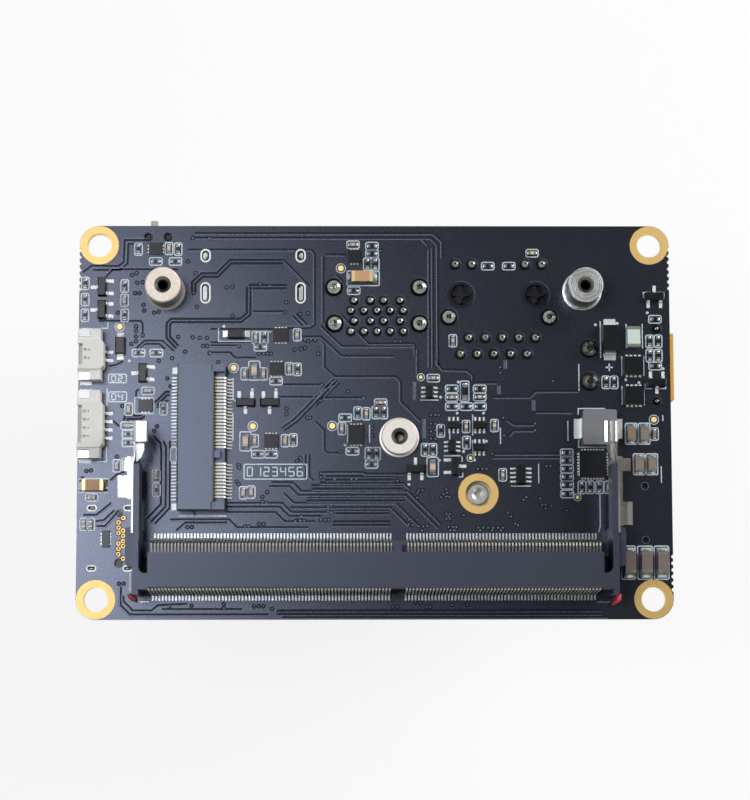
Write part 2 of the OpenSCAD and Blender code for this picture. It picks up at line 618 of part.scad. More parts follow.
module card_socket_shell(key_first, key_last) {
  y0 = -card_socket_l / 2;
  key_y = card_pin_y((key_first + key_last) / 2);
  difference() {
    union() {
      along_y(y0, -y0) polygon([
        [socket_rear_x, 0.1], [socket_rear_x, card_socket_h - 0.2],
        [socket_rear_x + 0.2, card_socket_h], [socket_lip_x - 0.15, card_socket_h],
        [socket_lip_x, card_socket_h - 0.2], [socket_lip_x, 3.55], [-28.3, 3.55], [-28.3, 2.25],
        [socket_jaw_x - 0.2, 2.25], [socket_jaw_x, 2.05], [socket_jaw_x, 0.1]
      ]);
      // Side walls of the mouth
      box([-28.4, y0, 2.2], [socket_jaw_x, y0 + 1.1, 3.6]);
      box([-28.4, -y0 - 1.1, 2.2], [socket_jaw_x, -y0, 3.6]);
      // Key
      box([-28.4, key_y - 0.55, 2.2], [socket_lip_x + 0.95, key_y + 0.55, 3.6]);
      // Locating pegs
      translate([card_peg_x, card_peg_y, -1.3]) cylinder(r = 0.5, h = 1.5);
      translate([card_peg_x, -card_peg_y, -1.3]) cylinder(r = 0.75, h = 1.5);
    }
    // Two shallow steps at the ends of the upper face
    for (s = [-1, 1]) box([-24.6, s > 0 ? -y0 - 1.1 : y0 - 1, 3.6],
                          [socket_lip_x + 1, s > 0 ? -y0 + 1 : y0 + 1.1, card_socket_h + 1]);
  }
}

module card_socket_pins(key_first, key_last) {
  // Even pins: tail in front of the jaw, finger in the mouth
  for (n = [2:2:74]) if (n < key_first || n > key_last) translate([0, card_pin_y(n), 0]) {
    along_y(-card_tail_w / 2, card_tail_w / 2) polygon([
      [-21.55, 0], [-21.55, 0.18], [-22.25, 0.35], [-22.4, 1.6], [-22.6, 1.6], [-22.6, 0.2],
      [-22.45, 0]
    ]);
    along_y(-card_pin_w / 2, card_pin_w / 2) polygon([
      [-22.4, 1.5], [-22.45, 2.3], [-22.75, 2.5], [-26.5, 2.62], [-26.5, 2.45], [-22.8, 2.25],
      [-22.6, 2.05], [-22.6, 1.5]
    ]);
  }
  // Odd pins: tails behind the socket
  for (n = [1:2:75]) if (n < key_first || n > key_last) translate([0, card_pin_y(n), 0])
    along_y(-card_tail_w / 2, card_tail_w / 2) polygon([
      [-30.8, 0], [-30.8, 0.18], [-30.05, 0.3], [-29.9, 1.4], [-29.7, 1.4], [-29.7, 0.2],
      [-29.95, 0]
    ]);
  // Hold-down tabs
  for (s = [-1, 1]) translate([0, s * card_tab_y, 0]) along_y(-0.5, 0.5) polygon([
    [-30.7, 0], [-30.7, 0.2], [-29.95, 0.25], [-29.9, 1.0], [-29.7, 1.0], [-29.7, 0]
  ]);
}

module card_socket_housing() {
  color("#3a3f47") translate([0, card_socket_y, 0]) card_socket_shell(24, 31);
}

module card_socket_contacts() {
  color("#cfc9ae") translate([0, card_socket_y, 0]) card_socket_pins(24, 31);
}

module drive_socket_housing() {
  color("#3a3f47") on_underside() translate([0, drive_socket_y, 0]) card_socket_shell(59, 66);
}

module drive_socket_contacts() {
  color("#cfc9ae") on_underside() translate([0, drive_socket_y, 0]) card_socket_pins(59, 66);
}

// Side-entry wire header with n pins, its mouth at x = 0 facing -X
function header_w(n) = header_pitch * (n - 1) + 3.3;

module header_housing(n) {
  w = header_w(n);
  difference() {
    union() {
      box([0, -w / 2, 0.1], [header_d, w / 2, header_h]);
      box([0, -w / 2 - header_ear, 0.1], [header_d - 0.45, w / 2 + header_ear, header_h - 0.3]);
    }
    // Mouth, and the upper lip set back from it
    box([-1, -w / 2 + 0.65, 0.75], [header_d - 0.95, w / 2 - 0.65, header_h - 0.6]);
    box([-1, -w / 2 + 0.65, header_h - 0.7], [0.75, w / 2 - 0.65, header_h + 1]);
    // Rounded shoulders of the rear edge
    for (s = [-1, 1]) translate([header_d, s * w / 2, header_h / 2 + 0.5])
      rotate([0, 0, 45]) cube([0.7, 0.7, header_h + 2], center = true);
    // Two small windows over each pin
    for (i = [0:n - 1]) translate([0, (i - (n - 1) / 2) * header_pitch, 0]) {
      box([0.95, -0.2, header_h - 0.65], [1.4, 0.2, header_h + 1]);
      box([1.65, -0.12, header_h - 0.65], [1.85, 0.12, header_h + 1]);
    }
    // Seats of the two hold-down plates
    for (s = [-1, 1]) scale([1, s, 1]) {
      box([-1, w / 2 + header_ear - 0.25, -1], [1.9, w / 2 + header_ear + 1, header_h]);
      box([-1, w / 2 + 0.3, header_h - 0.75], [1.9, w / 2 + header_ear + 1, header_h + 1]);
    }
  }
}

module header_pins(n) {
  w = header_w(n);
  color("#cfd3d4") {
    for (i = [0:n - 1]) translate([0, (i - (n - 1) / 2) * header_pitch, 0]) {
      // Contact finger in the mouth and the gull foot behind the housing
      box([1.1, -0.16, 1.5], [header_d - 0.95, 0.16, 1.85]);
      along_y(-0.2, 0.2) polygon([
        [header_d, 0.7], [header_d, 0.9], [header_d + 0.3, 0.9], [header_d + 0.5, 0.2],
        [header_d + 1.15, 0.2], [header_d + 1.15, 0], [header_d + 0.35, 0],
        [header_d + 0.15, 0.7]
      ]);
    }
    for (s = [-1, 1]) scale([1, s, 1]) along_x(0.15, 1.85) polygon([
      [w / 2 + header_ear + 0.45, 0], [w / 2 + header_ear + 0.45, 0.22],
      [w / 2 + header_ear, 0.3], [w / 2 + header_ear, header_h - 0.6],
      [w / 2 + 0.4, header_h - 0.5], [w / 2 + 0.4, header_h - 0.75],
      [w / 2 + header_ear - 0.25, header_h - 0.75], [w / 2 + header_ear - 0.25, 0]
    ]);
  }
}

module fan_header_housing() {
  color("#cdc8b4") translate([header_mouth_x, fan_at, 0]) header_housing(fan_pins);
}

module fan_header_pins() {
  translate([header_mouth_x, fan_at, 0]) header_pins(fan_pins);
}

module clock_header_housing() {
  color("#cdc8b4") translate([header_mouth_x, clock_at, 0]) header_housing(clock_pins);
}

module clock_header_pins() {
  translate([header_mouth_x, clock_at, 0]) header_pins(clock_pins);
}

// Video port: a shell with the port's sloping lower corners, open at the +Y edge
module video_outline(g) {
  polygon([
    [-video_w / 2 + g, -g], [video_w / 2 - g, -g], [video_w / 2 - g, -3.2],
    [video_w / 2 - 1.7, -video_h + 1.0], [video_w / 2 - 1.7, -video_h + g],
    [-video_w / 2 + 1.7, -video_h + g], [-video_w / 2 + 1.7, -video_h + 1.0],
    [-video_w / 2 + g, -3.2]
  ]);
}

module video_port_shell() {
  color("#b9bcbe") translate([video_x, 0, under]) {
    difference() {
      along_y(edge_y - video_d, edge_y) video_outline(0);
      along_y(edge_y - video_d + sheet, edge_y + 1) video_outline(sheet);
      // Window of the spring finger in each broad face
      for (s = [-1, 1]) box([s * 3.2 - 0.9, edge_y - 7, -video_h - 1],
                            [s * 3.2 + 0.9, edge_y - 3.2, -video_h + 0.5]);
    }
    for (s = [-1, 1]) box([s * 3.2 - 0.65, edge_y - 7.2, -video_h],
                          [s * 3.2 + 0.65, edge_y - 3.6, -video_h + sheet]);
    for (p = video_tabs) box([p[0] - 0.25, p[1] - p[2] / 2 + 0.75, -0.4],
                             [p[0] + 0.25, p[1] + p[2] / 2 - 0.75, board_t - 0.1]);
  }
}

module video_port_tongue() {
  color("#1c1d20") translate([video_x, 0, under]) {
    box([-video_w / 2 + 1.9, edge_y - video_d + sheet, -video_h + 1.1],
        [video_w / 2 - 1.9, edge_y - 7.4, -sheet]);
    box([-5.7, edge_y - 7.4, -3.4], [5.7, edge_y - 1.6, -2.1]);
    // Contact feet behind the port
    for (i = [0:18]) box([-4.6 + i * 0.5, edge_y - video_d - 0.9, -0.2],
                         [-4.35 + i * 0.5, edge_y - video_d, 0]);
  }
}

// Two stacked ports in one tall shell
module usb_stack_shell() {
  color("#b9bcbe") translate([usb_x, 0, under]) {
    difference() {
      box([-usb_w / 2, edge_y - usb_d, -usb_h], [usb_w / 2, edge_y, 0]);
      box([-usb_w / 2 + sheet, edge_y - usb_d + sheet, -usb_h + sheet],
          [usb_w / 2 - sheet, edge_y - sheet, 1]);
      for (z = usb_port_z) box([-usb_port[0] / 2, edge_y - 1, z],
                               [usb_port[0] / 2, edge_y + 1, z + usb_port[1]]);
      // Spring windows in both side walls
      for (s = [-1, 1], z = usb_port_z) translate([s * usb_w / 2, 0, z + usb_port[1] / 2])
        box([-1, edge_y - 8, -0.7], [1, edge_y - 3, 0.7]);
    }
    // Lips turned in round both ports
    for (z = usb_port_z, s = [-1, 1]) {
      box([-usb_port[0] / 2 + 0.4, edge_y - 3.2, z + (s > 0 ? usb_port[1] : -sheet)],
          [usb_port[0] / 2 - 0.4, edge_y - sheet, z + (s > 0 ? usb_port[1] + sheet : 0)]);
    }
    for (p = usb_tabs) {
      x = p[0] - usb_x;
      s = x > 0 ? 1 : -1;
      box([min(x - s * 0.2, x + s * 0.2), p[1] - 0.8, -0.6],
          [max(x - s * 0.2, x + s * 0.2), p[1] + 0.8, board_t]);
    }
  }
}

module usb_stack_body() {
  color("#2b5f9e") translate([usb_x, 0, under]) {
    box([-usb_w / 2 + 0.7, edge_y - usb_d + sheet, -usb_h + 0.6],
        [usb_w / 2 - 0.7, edge_y - 9.5, -0.1]);
    for (z = usb_port_z) box([-5.6, edge_y - 9.5, z + 2.9], [5.6, edge_y - 0.9, z + 4.6]);
    box([-usb_port[0] / 2, edge_y - 9.5, usb_port_z[0] - 1.4],
        [usb_port[0] / 2, edge_y - 0.9, usb_port_z[0] - 0.6]);
  }
}

module usb_stack_pins() {
  color("#c9cdcc") for (p = usb_pin_places()) translate([p[0] - 0.25, p[1] - 0.25, under - 0.1])
    cube([0.5, 0.5, board_t + 0.1]);
}

// Network jack with its shield and two star-shaped posts
module network_jack_shell() {
  color("#b9bcbe") translate([jack_x, 0, under]) {
    difference() {
      box([-jack_w / 2, edge_y - jack_d, -jack_h], [jack_w / 2, edge_y, 0]);
      box([-jack_w / 2 + sheet, edge_y - jack_d + sheet, -jack_h + sheet],
          [jack_w / 2 - sheet, edge_y - sheet, 1]);
      box([-jack_w / 2 + 0.8, edge_y - 1, -jack_h + 0.8], [jack_w / 2 - 0.8, edge_y + 1, -0.8]);
      for (s = [-1, 1]) translate([s * jack_w / 2, 0, -6])
        box([-1, edge_y - 6, -1.2], [1, edge_y - 2.5, 1.2]);
    }
    for (s = [-1, 1]) box([min(s * (jack_w / 2 - sheet), s * jack_w / 2), 15.15, -0.5],
                          [max(s * (jack_w / 2 - sheet), s * jack_w / 2), 16.65, board_t]);
  }
}

module network_jack_body() {
  low = jack_port_z - jack_port[1];
  color("#1d1e21") {
    translate([jack_x, 0, under]) difference() {
      box([-jack_w / 2 + sheet, edge_y - jack_d + sheet, -jack_h + sheet],
          [jack_w / 2 - sheet, edge_y - sheet, -0.1]);
      // Plug opening with its latch channel
      box([-jack_port[0] / 2, edge_y - jack_port_d, low], [jack_port[0] / 2, edge_y + 1, jack_port_z]);
      box([-3.1, edge_y - jack_port_d, low - 1.4], [3.1, edge_y + 1, low + 0.2]);
      box([-1.6, edge_y - jack_port_d, low - 2.8], [1.6, edge_y + 1, low - 0.8]);
      // Comb that the springs lie in
      at_jack_wires() box([-0.22, edge_y - jack_port_d, jack_port_z - 0.1],
                          [0.22, edge_y - 2.8, jack_port_z + 0.3]);
      // Windows of the two lamps
      for (s = [-1, 1]) box([s * jack_lamp_x - 1.4, edge_y - 1.5, -12.4],
                            [s * jack_lamp_x + 1.4, edge_y, -10.6]);
    }
    for (p = jack_posts) translate([p[0], p[1], under - 0.1]) difference() {
      rotate_extrude() polygon([
        [0, 0], [post_r, 0], [post_r, board_t - 0.1], [post_r - 0.35, board_t + 0.35],
        [0, board_t + 0.35]
      ]);
      for (a = [45:90:315]) rotate(a) translate([post_r, 0, 0.9]) cylinder(r = 0.95, h = board_t);
    }
  }
}

module at_jack_wires() {
  for (i = [0:jack_wires - 1])
    translate([(i - (jack_wires - 1) / 2) * jack_wire_pitch, 0, 0]) children();
}

// Springs along the roof of the plug opening, turned down at its rear wall
module network_jack_springs() {
  color("#d9b261") translate([jack_x, 0, under]) at_jack_wires() along_x(-0.17, 0.17) polygon([
    [edge_y - 3, jack_port_z + 0.25], [edge_y - 3, jack_port_z],
    [edge_y - jack_port_d + 0.15, jack_port_z], [edge_y - jack_port_d + 0.15, -6],
    [edge_y - jack_port_d, -6], [edge_y - jack_port_d, jack_port_z + 0.25]
  ]);
}

module network_lamps() {
  color("#cfd8a8") translate([jack_x, 0, under]) for (s = [-1, 1])
    box([s * jack_lamp_x - 1.35, edge_y - 1.5, -12.35],
        [s * jack_lamp_x + 1.35, edge_y - sheet, -10.65]);
}

module network_jack_pins() {
  color("#c9cdcc") for (p = jack_pin_places()) translate([p[0], p[1], under - 0.1])
    cylinder(r = 0.25, h = board_t + 0.1);
}

// Reversible port on the left edge
module usb_c_shell() {
  color("#b9bcbe") translate([-board_l / 2 - 0.2, usb_c_y, usb_c_z]) {
    difference() {
      rotate([90, 0, 90]) linear_extrude(usb_c_size[0])
        round_rect(usb_c_size[1], usb_c_size[2], 1.5);
      translate([-1, 0, 0]) rotate([90, 0, 90]) linear_extrude(usb_c_size[0] + 2)
        round_rect(usb_c_size[1] - 0.6, usb_c_size[2] - 0.6, 1.25);
      for (p = usb_c_pegs) translate([p[0], p[1], 0]) cylinder(r = p[2] + 0.05, h = 3);
    }
    for (p = usb_c_tabs) {
      x = p[0] + board_l / 2 + 0.2;
      s = p[1] > 0 ? 1 : -1;
      box([x - 0.4, min(p[1] - 0.15, p[1] + 0.15), -0.5],
          [x + 0.4, max(p[1] - 0.15, p[1] + 0.15), usb_c_size[2] / 2 + board_t - 0.2]);
      box([x - 0.4, min(s * 4.4, s * 4.7), -0.8], [x + 0.4, max(s * 4.4, s * 4.7), -0.2]);
    }
  }
}

module usb_c_tongue() {
  color("#1c1d20") translate([-board_l / 2 - 0.2, usb_c_y, usb_c_z]) {
    translate([5.2, 0, 0]) rotate([90, 0, 90]) linear_extrude(usb_c_size[0] - 5.2)
      round_rect(usb_c_size[1] - 0.6, usb_c_size[2] - 0.6, 1.25);
    box([0.9, -3.35, -0.35], [5.2, 3.35, 0.35]);
    for (p = usb_c_pegs)
      translate([p[0], p[1], 0.8]) cylinder(r = p[2], h = usb_c_size[2] / 2 + board_t - 1.2);
  }
}

// Flat contacts on the tongues of the video port, the stacked ports and the reversible port
module port_contacts() {
  color("#d9b261") {
    translate([video_x, 0, under]) for (i = [0:18])
      box([(i - 9) * 0.5 - 0.15, edge_y - 7.4, i % 2 == 0 ? -2.1 : -3.4 - contact_t],
          [(i - 9) * 0.5 + 0.15, edge_y - 2.2, i % 2 == 0 ? -2.1 + contact_t : -3.4]);
    translate([usb_x, 0, under]) for (z = usb_port_z, x = [-3.5, -1, 1, 3.5])
      box([x - 0.5, edge_y - 8.5, z + 2.9 - contact_t], [x + 0.5, edge_y - 1.6, z + 2.9]);
    translate([-board_l / 2 - 0.2, usb_c_y, usb_c_z]) for (i = [0:11], s = [-1, 1])
      translate([3.2, (i - 5.5) * 0.5, s * (0.35 + contact_t / 2)])
        cube([4, 0.26, contact_t], center = true);
  }
}

// Memory card socket at the right edge, told from its two locating holes
module memory_card_shell() {
  x1 = board_l / 2 - 0.3;
  color("#b9bcbe") translate([0, memory_y, under]) difference() {
    box([x1 - memory_size[0], -memory_size[1] / 2, -memory_size[2]], [x1, memory_size[1] / 2, 0]);
    box([x1 - memory_size[0] + 0.2, -memory_size[1] / 2 + 0.2, -memory_size[2] + 0.2],
        [x1 + 1, memory_size[1] / 2 - 0.2, 1]);
    box([x1 - 9.5, -3.4, -memory_size[2] - 1], [x1 - 6, 3.4, -1]);
  }
}

module memory_card_base() {
  x1 = board_l / 2 - 0.3;
  color("#1c1d20") {
    translate([0, memory_y, under]) {
      box([x1 - memory_size[0] + 0.2, -memory_size[1] / 2 + 0.2, -0.5],
          [x1 - 0.2, memory_size[1] / 2 - 0.2, 0]);
      box([x1 - memory_size[0] + 0.2, -memory_size[1] / 2 + 0.2, -memory_size[2] + 0.25],
          [x1 - memory_size[0] + 1.8, memory_size[1] / 2 - 0.2, -0.5]);
    }
    for (p = memory_pegs) translate([p[0], p[1], under]) cylinder(r = memory_peg_r, h = board_t - 0.3);
  }
}

// Power inlet on the right edge: a yellow two-pole socket
module power_inlet_body() {
  color("#e0a52c") translate([inlet_front - inlet_size[0], power_y, under]) difference() {
    union() {
      box([0, -inlet_size[1] / 2 + 0.6, -inlet_size[2]], [9, inlet_size[1] / 2 - 0.6, -0.1]);
      box([9, -inlet_size[1] / 2, -inlet_size[2] - 0.2], [inlet_size[0], inlet_size[1] / 2, -0.1]);
    }
    // Socket with one chamfered side, open to +X
    translate([5.4, 0, -inlet_size[2] / 2 - 0.1]) rotate([90, 0, 90]) linear_extrude(20) polygon([
      [-4.0, -1.9], [2.9, -1.9], [4.0, -0.9], [4.0, 0.9], [2.9, 1.9], [-4.0, 1.9]
    ]);
    // Channels of the two pins at the rear
    for (y = power_pins_y) translate([power_pin_x - inlet_front + inlet_size[0], y - power_y, 0])
      cylinder(r = 0.9, h = 6, center = true);
  }
}

module power_inlet_pins() {
  color("#d9b261") for (y = power_pins_y) {
    translate([power_pin_x, y, under - 2.6]) cylinder(r = 0.85, h = board_t + 2.6);
    translate([inlet_front - inlet_size[0] + 5.4, y, under - 2.9])
      rotate([0, 90, 0]) cylinder(r = 1.0, h = 6.5);
  }
}

// Slide switch on the underside, its knob out over the board's edge
module switch_cover() {
  color("#b9bcbe") translate([switch_x, switch_y, under]) difference() {
    box([-switch_size[0] / 2, -switch_size[1] / 2, -switch_size[2]],
        [switch_size[0] / 2, switch_size[1] / 2, -0.35]);
    box([-switch_size[0] / 2 + 0.2, -switch_size[1] / 2 + 0.2, -switch_size[2] + 0.2],
        [switch_size[0] / 2 - 0.2, switch_size[1] / 2 - 0.2, 1]);
    // Window of the knob
    box([-(switch_travel + knob_w) / 2 - 0.15, 0, -switch_size[2] + 0.3],
        [(switch_travel + knob_w) / 2 + 0.15, switch_size[1], 1]);
  }
}

module switch_base() {
  color("#17181a") translate([switch_x, switch_y, under]) {
    box([-switch_size[0] / 2, -switch_size[1] / 2, -0.35],
        [switch_size[0] / 2, switch_size[1] / 2, 0]);
    for (s = [-1, 1]) translate([s * switch_peg_x, 0, 0]) cylinder(r = switch_peg_r, h = board_t - 0.4);
  }
}

module switch_knob() {
  color("#b5ac98") translate([switch_x - switch_travel / 2, switch_y, under]) {
    box([-knob_w / 2, -0.2, -1.02], [knob_w / 2, 2.85, -0.45]);
    box([-knob_w / 2 - 0.35, -0.8, -1.02], [knob_w / 2 + 0.35, 0.9, -0.45]);
  }
}

module switch_terminals() {
  color("#cfd3d4") translate([switch_x, switch_y, under]) {
    for (x = [-2.25, 0.75, 2.25]) box([x - 0.3, -2.2, -0.2], [x + 0.3, -switch_size[1] / 2, 0]);
    for (sx = [-1, 1], y = [-1.1, 1.1]) translate([sx * (switch_size[0] / 2 + 0.3), y, -0.1])
      cube([0.6, 0.5, 0.2], center = true);
  }
}

// Moulded power inductor: a square block with soft corners between two wrapped terminals
module power_inductor() {
  color("#77787b") translate([inductor_at[0], inductor_at[1], 0]) {
    translate([0, 0, 0.15]) linear_extrude(inductor_size[2] - 0.15)
      round_rect(inductor_size[0], inductor_size[1], 0.35);
  }
}

module inductor_terminals() {
  x = inductor_size[0] / 2;
  color("#cfd3d4") translate([inductor_at[0], inductor_at[1], 0]) for (s = [-1, 1])
    scale([s, 1, 1]) along_y(-inductor_foot_w / 2, inductor_foot_w / 2) polygon([
      [x - 1, 0], [x + inductor_reach, 0], [x + inductor_reach, 0.12], [x + 0.15, 0.15],
      [x + 0.15, 2.0], [x, 2.0], [x, 0.15], [x - 1, 0.15]
    ]);
}

// Moulded body with drafted sides, along Y; size is [length, width, height]
module drafted_body(size) {
  l = size[0];
  w = size[1];
  h = size[2];
  z_mid = h * 0.45;
  translate([0, 0, 0.12]) intersection() {
    along_x(-w / 2, w / 2) polygon([
      [-l / 2 + 0.12, 0], [-l / 2, z_mid], [-l / 2 + 0.2, h - 0.12], [l / 2 - 0.2, h - 0.12],
      [l / 2, z_mid], [l / 2 - 0.12, 0]
    ]);
    along_y(-l / 2, l / 2) polygon([
      [-w / 2 + 0.12, 0], [-w / 2, z_mid], [-w / 2 + 0.2, h - 0.12], [w / 2 - 0.2, h - 0.12],
      [w / 2, z_mid], [w / 2 - 0.12, 0]
    ]);
  }
}

// Foot of width w at both ends of such a body
module end_foot(size, w, reach) {
  l = size[0];
  z = size[2] * 0.45;
  for (s = [-1, 1]) scale([1, s, 1]) along_x(-w / 2, w / 2) polygon([
    [l / 2 - 0.1, 0], [l / 2 + reach, 0], [l / 2 + reach, 0.15], [l / 2 + 0.25, 0.2],
    [l / 2 + 0.2, z + 0.16], [l / 2, z + 0.2], [l / 2, z + 0.12], [l / 2 - 0.1, 0.12]
  ]);
}

module rectifier() {
  color("#1f2123") translate([rectifier_at[0], rectifier_at[1], 0]) drafted_body(rectifier_size);
}

module small_diodes() {
  color("#2b2c2f") for (d = diodes) translate([d[0], d[1], 0]) rotate(d[2] - 90)
    drafted_body(diode_size);
}

module diode_terminals() {
  color("#cfd3d4") {
    translate([rectifier_at[0], rectifier_at[1], 0]) end_foot(rectifier_size, 1.75, 1.0);
    for (d = diodes) translate([d[0], d[1], 0]) rotate(d[2] - 90) end_foot(diode_size, 0.9, 0.7);
  }
}

// Leadless power parts: a flat block over a row of pads at each end
module power_transistors() {
  color("#26282b") for (p = power_chips) translate([p[0], p[1], 0.12])
    linear_extrude(0.8) square(power_chip_size, center = true);
}

module power_controller() {
  color("#232528") translate([controller_at[0], controller_at[1], 0.1])
    linear_extrude(0.75) square(controller_size, center = true);
}

module leadless_chips() {
  color("#2b2d31") for (c = leadless) translate([c[0], c[1], 0.08]) rotate(c[5])
    linear_extrude(0.6) square([c[2], c[3]], center = true);
}

// Row of pads along X, each l deep, w wide and t thick
module pad_row(count, pitch, l, w, t) {
  for (i = [0:count - 1]) translate([(i - (count - 1) / 2) * pitch, 0, t / 2])
    cube([w, l, t], center = true);
}

module leadless_chip_pads() {
  color("#cfd3d4") {
    for (p = power_chips) for (s = [-1, 1])
      translate([p[0], p[1] + s * (power_chip_size[1] / 2 + 0.05), 0])
        pad_row(4, 0.65, 0.5, 0.36, 0.12);
    for (a = [0:90:270]) translate([controller_at[0], controller_at[1], 0]) rotate(a)
      translate([0, controller_size / 2 + 0.05, 0]) pad_row(8, 0.45, 0.4, 0.24, 0.1);
    for (c = leadless) translate([c[0], c[1], 0]) rotate(c[5]) for (s = [-1, 1])
      translate([0, s * c[3] / 2, 0]) pad_row(c[4], 0.5, 0.36, 0.22, 0.08);
  }
}

// Bodies and legs of the small gull-wing parts
module transistors() {
  color("#27292c") for (t = three_legged) translate([t[0], t[1], 0.05]) rotate(t[2] + 90)
    drafted_body(three_legged_size);
}

function many_body(count) = leg_pitch * (count - 1) + (count > 3 ? 0.95 : 0.75);

module logic_chips() {
  color("#27292c") for (m = many_legged) translate([m[0], m[1], 0.05]) rotate(m[2] + 90)
    drafted_body([many_body(m[3]), m[3] > 3 ? 1.6 : 1.25, 0.95]);
}

// One gull-wing leg whose root is at y = 0 and height z, foot towards +Y
module gull_leg(w, z, reach) {
  along_x(-w / 2, w / 2) polygon([
    [0, z], [0, z + lead_t], [0.16, z + lead_t], [0.32, lead_t], [reach, lead_t], [reach, 0],
    [0.22, 0], [0.1, z]
  ]);
}

module chip_leads() {
  color("#cfd3d4") {
    for (t = three_legged) translate([t[0], t[1], 0]) rotate(t[2]) {
      translate([0, three_legged_size[1] / 2, 0]) gull_leg(0.45, 0.52, 1.05);
      for (s = [-1, 1]) translate([s * 0.95, -three_legged_size[1] / 2, 0]) rotate(180)
        gull_leg(0.45, 0.52, 1.05);
    }
    for (m = many_legged) translate([m[0], m[1], 0]) rotate(m[2]) for (s = [0, 180]) rotate(s)
      for (i = [0:m[3] - 1]) translate([(i - (m[3] - 1) / 2) * leg_pitch, m[3] > 3 ? 0.8 : 0.625, 0])
        gull_leg(0.26, 0.45, m[3] > 3 ? 0.8 : 0.6);
  }
}

// Ceramic chips: the body between two end caps that wrap it
module chip_body(s) {
  translate([0, 0, 0.03 + s[2] / 2]) cube([s[0] - 2 * s[3], s[1] - 0.04, s[2] - 0.04], center = true);
}

module chip_caps(s) {
  for (e = [-1, 1]) translate([e * (s[0] - s[3]) / 2, 0, s[2] / 2 + 0.015])
    cube([s[3], s[1], s[2] + 0.03], center = true);
}

module at_each(places) {
  for (p = places) translate([p[0], p[1], 0]) rotate(p[2]) children();
}

module chip_resistors() {
  color("#17181a") {
    at_each(resistors) chip_body(size_resistor);
    at_each([indicator_at]) chip_body(size_indicator);
  }
}

module small_capacitors() {
  color("#b79d82") {
    at_each(ceramics_small) chip_body(size_small);
    at_each(ceramics_medium) chip_body(size_medium);
    at_each(ceramics_large) chip_body(size_large);
  }
}

module bulk_capacitors() {
  color("#8d7a6c") at_each(ceramics_bulk) chip_body(size_bulk);
}

module surge_fuse() {
  color("#dfe6e4") at_each([fuse_at]) chip_body(size_fuse);
}

module chip_end_caps() {
  color("#cfd3d4") {
    at_each(resistors) chip_caps(size_resistor);
    at_each(ceramics_small) chip_caps(size_small);
    at_each(ceramics_medium) chip_caps(size_medium);
    at_each(ceramics_large) chip_caps(size_large);
    at_each(ceramics_bulk) chip_caps(size_bulk);
    at_each([fuse_at]) chip_caps(size_fuse);
    at_each([indicator_at]) chip_caps(size_indicator);
  }
}

board();
plated_lands();
test_points();
slot_lands();
solder_joints();
module_socket_housing();
module_socket_front_contacts();
module_socket_rear_contacts();
module_latch_left();
module_latch_right();
module_standoff_left();
module_standoff_right();
card_standoff();
drive_standoff();
card_socket_housing();
card_socket_contacts();
drive_socket_housing();
drive_socket_contacts();
fan_header_housing();
fan_header_pins();
clock_header_housing();
clock_header_pins();
video_port_shell();
video_port_tongue();
usb_stack_shell();
usb_stack_body();
usb_stack_pins();
network_jack_shell();
network_jack_body();
network_jack_pins();
network_jack_springs();
network_lamps();
usb_c_shell();
usb_c_tongue();
port_contacts();
memory_card_shell();
memory_card_base();
power_inlet_body();
power_inlet_pins();
switch_cover();
switch_base();
switch_knob();
switch_terminals();
power_inductor();
inductor_terminals();
rectifier();
small_diodes();
diode_terminals();
power_transistors();
power_controller();
leadless_chips();
leadless_chip_pads();
transistors();
logic_chips();
chip_leads();
chip_resistors();
small_capacitors();
bulk_capacitors();
surge_fuse();
chip_end_caps();
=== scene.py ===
"""Dresses the carrier board: finishes for every part, and the copper, print and solder on its faces."""

import logging
import math
import random
from collections.abc import Iterable, Sequence
from dataclasses import dataclass, field
from enum import Enum

import bpy
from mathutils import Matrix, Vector


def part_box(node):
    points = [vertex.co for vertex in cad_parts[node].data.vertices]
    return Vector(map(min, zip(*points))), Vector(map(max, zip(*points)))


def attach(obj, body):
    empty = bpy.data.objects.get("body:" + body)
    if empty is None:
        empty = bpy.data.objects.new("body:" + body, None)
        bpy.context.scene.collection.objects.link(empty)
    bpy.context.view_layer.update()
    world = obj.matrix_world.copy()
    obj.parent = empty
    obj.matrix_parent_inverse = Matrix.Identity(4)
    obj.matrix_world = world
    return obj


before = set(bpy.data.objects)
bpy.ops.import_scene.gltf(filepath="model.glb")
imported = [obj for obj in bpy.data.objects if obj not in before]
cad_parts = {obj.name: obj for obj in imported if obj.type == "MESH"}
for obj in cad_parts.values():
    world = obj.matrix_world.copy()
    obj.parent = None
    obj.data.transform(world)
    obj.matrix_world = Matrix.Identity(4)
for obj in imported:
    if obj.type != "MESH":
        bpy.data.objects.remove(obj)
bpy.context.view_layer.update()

log = logging.getLogger("carrier_board")

MM = 0.001
MICRON = 0.000001
BODY = "carrier"
# A wave texture turns through this many radians for each unit of its scale
WAVE_TURN = 20
# Share of a finish's relief that is shaded
BUMP_STRENGTH = 0.6
# How far the roughness swings with the grain, and its least value
GLOSS_SPREAD = 0.08
GLOSS_MIN = 0.03
# Width over which one colour of a finish gives way to another, in millimetres
BLEND_MM = 0.1
# Least cosine at a corner of a strip, so that a sharp corner doesn't run out too far
MITRE_LIMIT = 0.4
# Height below which a solid counts as standing on the board, in millimetres
TOUCH_MM = 0.01
# Radius of a closed centre, in millimetres
POINT_MM = 0.001

Point = tuple[float, float]
Point3 = tuple[float, float, float]


def linear(colour: str) -> tuple[float, float, float, float]:
    """Turns an sRGB hex colour into linear light.

    Args:
        colour: six hex digits after a hash sign.

    Returns:
        Red, green, blue and alpha, each from 0 to 1.
    """
    parts = [int(colour[i : i + 2], 16) / 255 for i in (1, 3, 5)]
    light = [p / 12.92 if p <= 0.04045 else ((p + 0.055) / 1.055) ** 2.4 for p in parts]
    return (*light, 1.0)


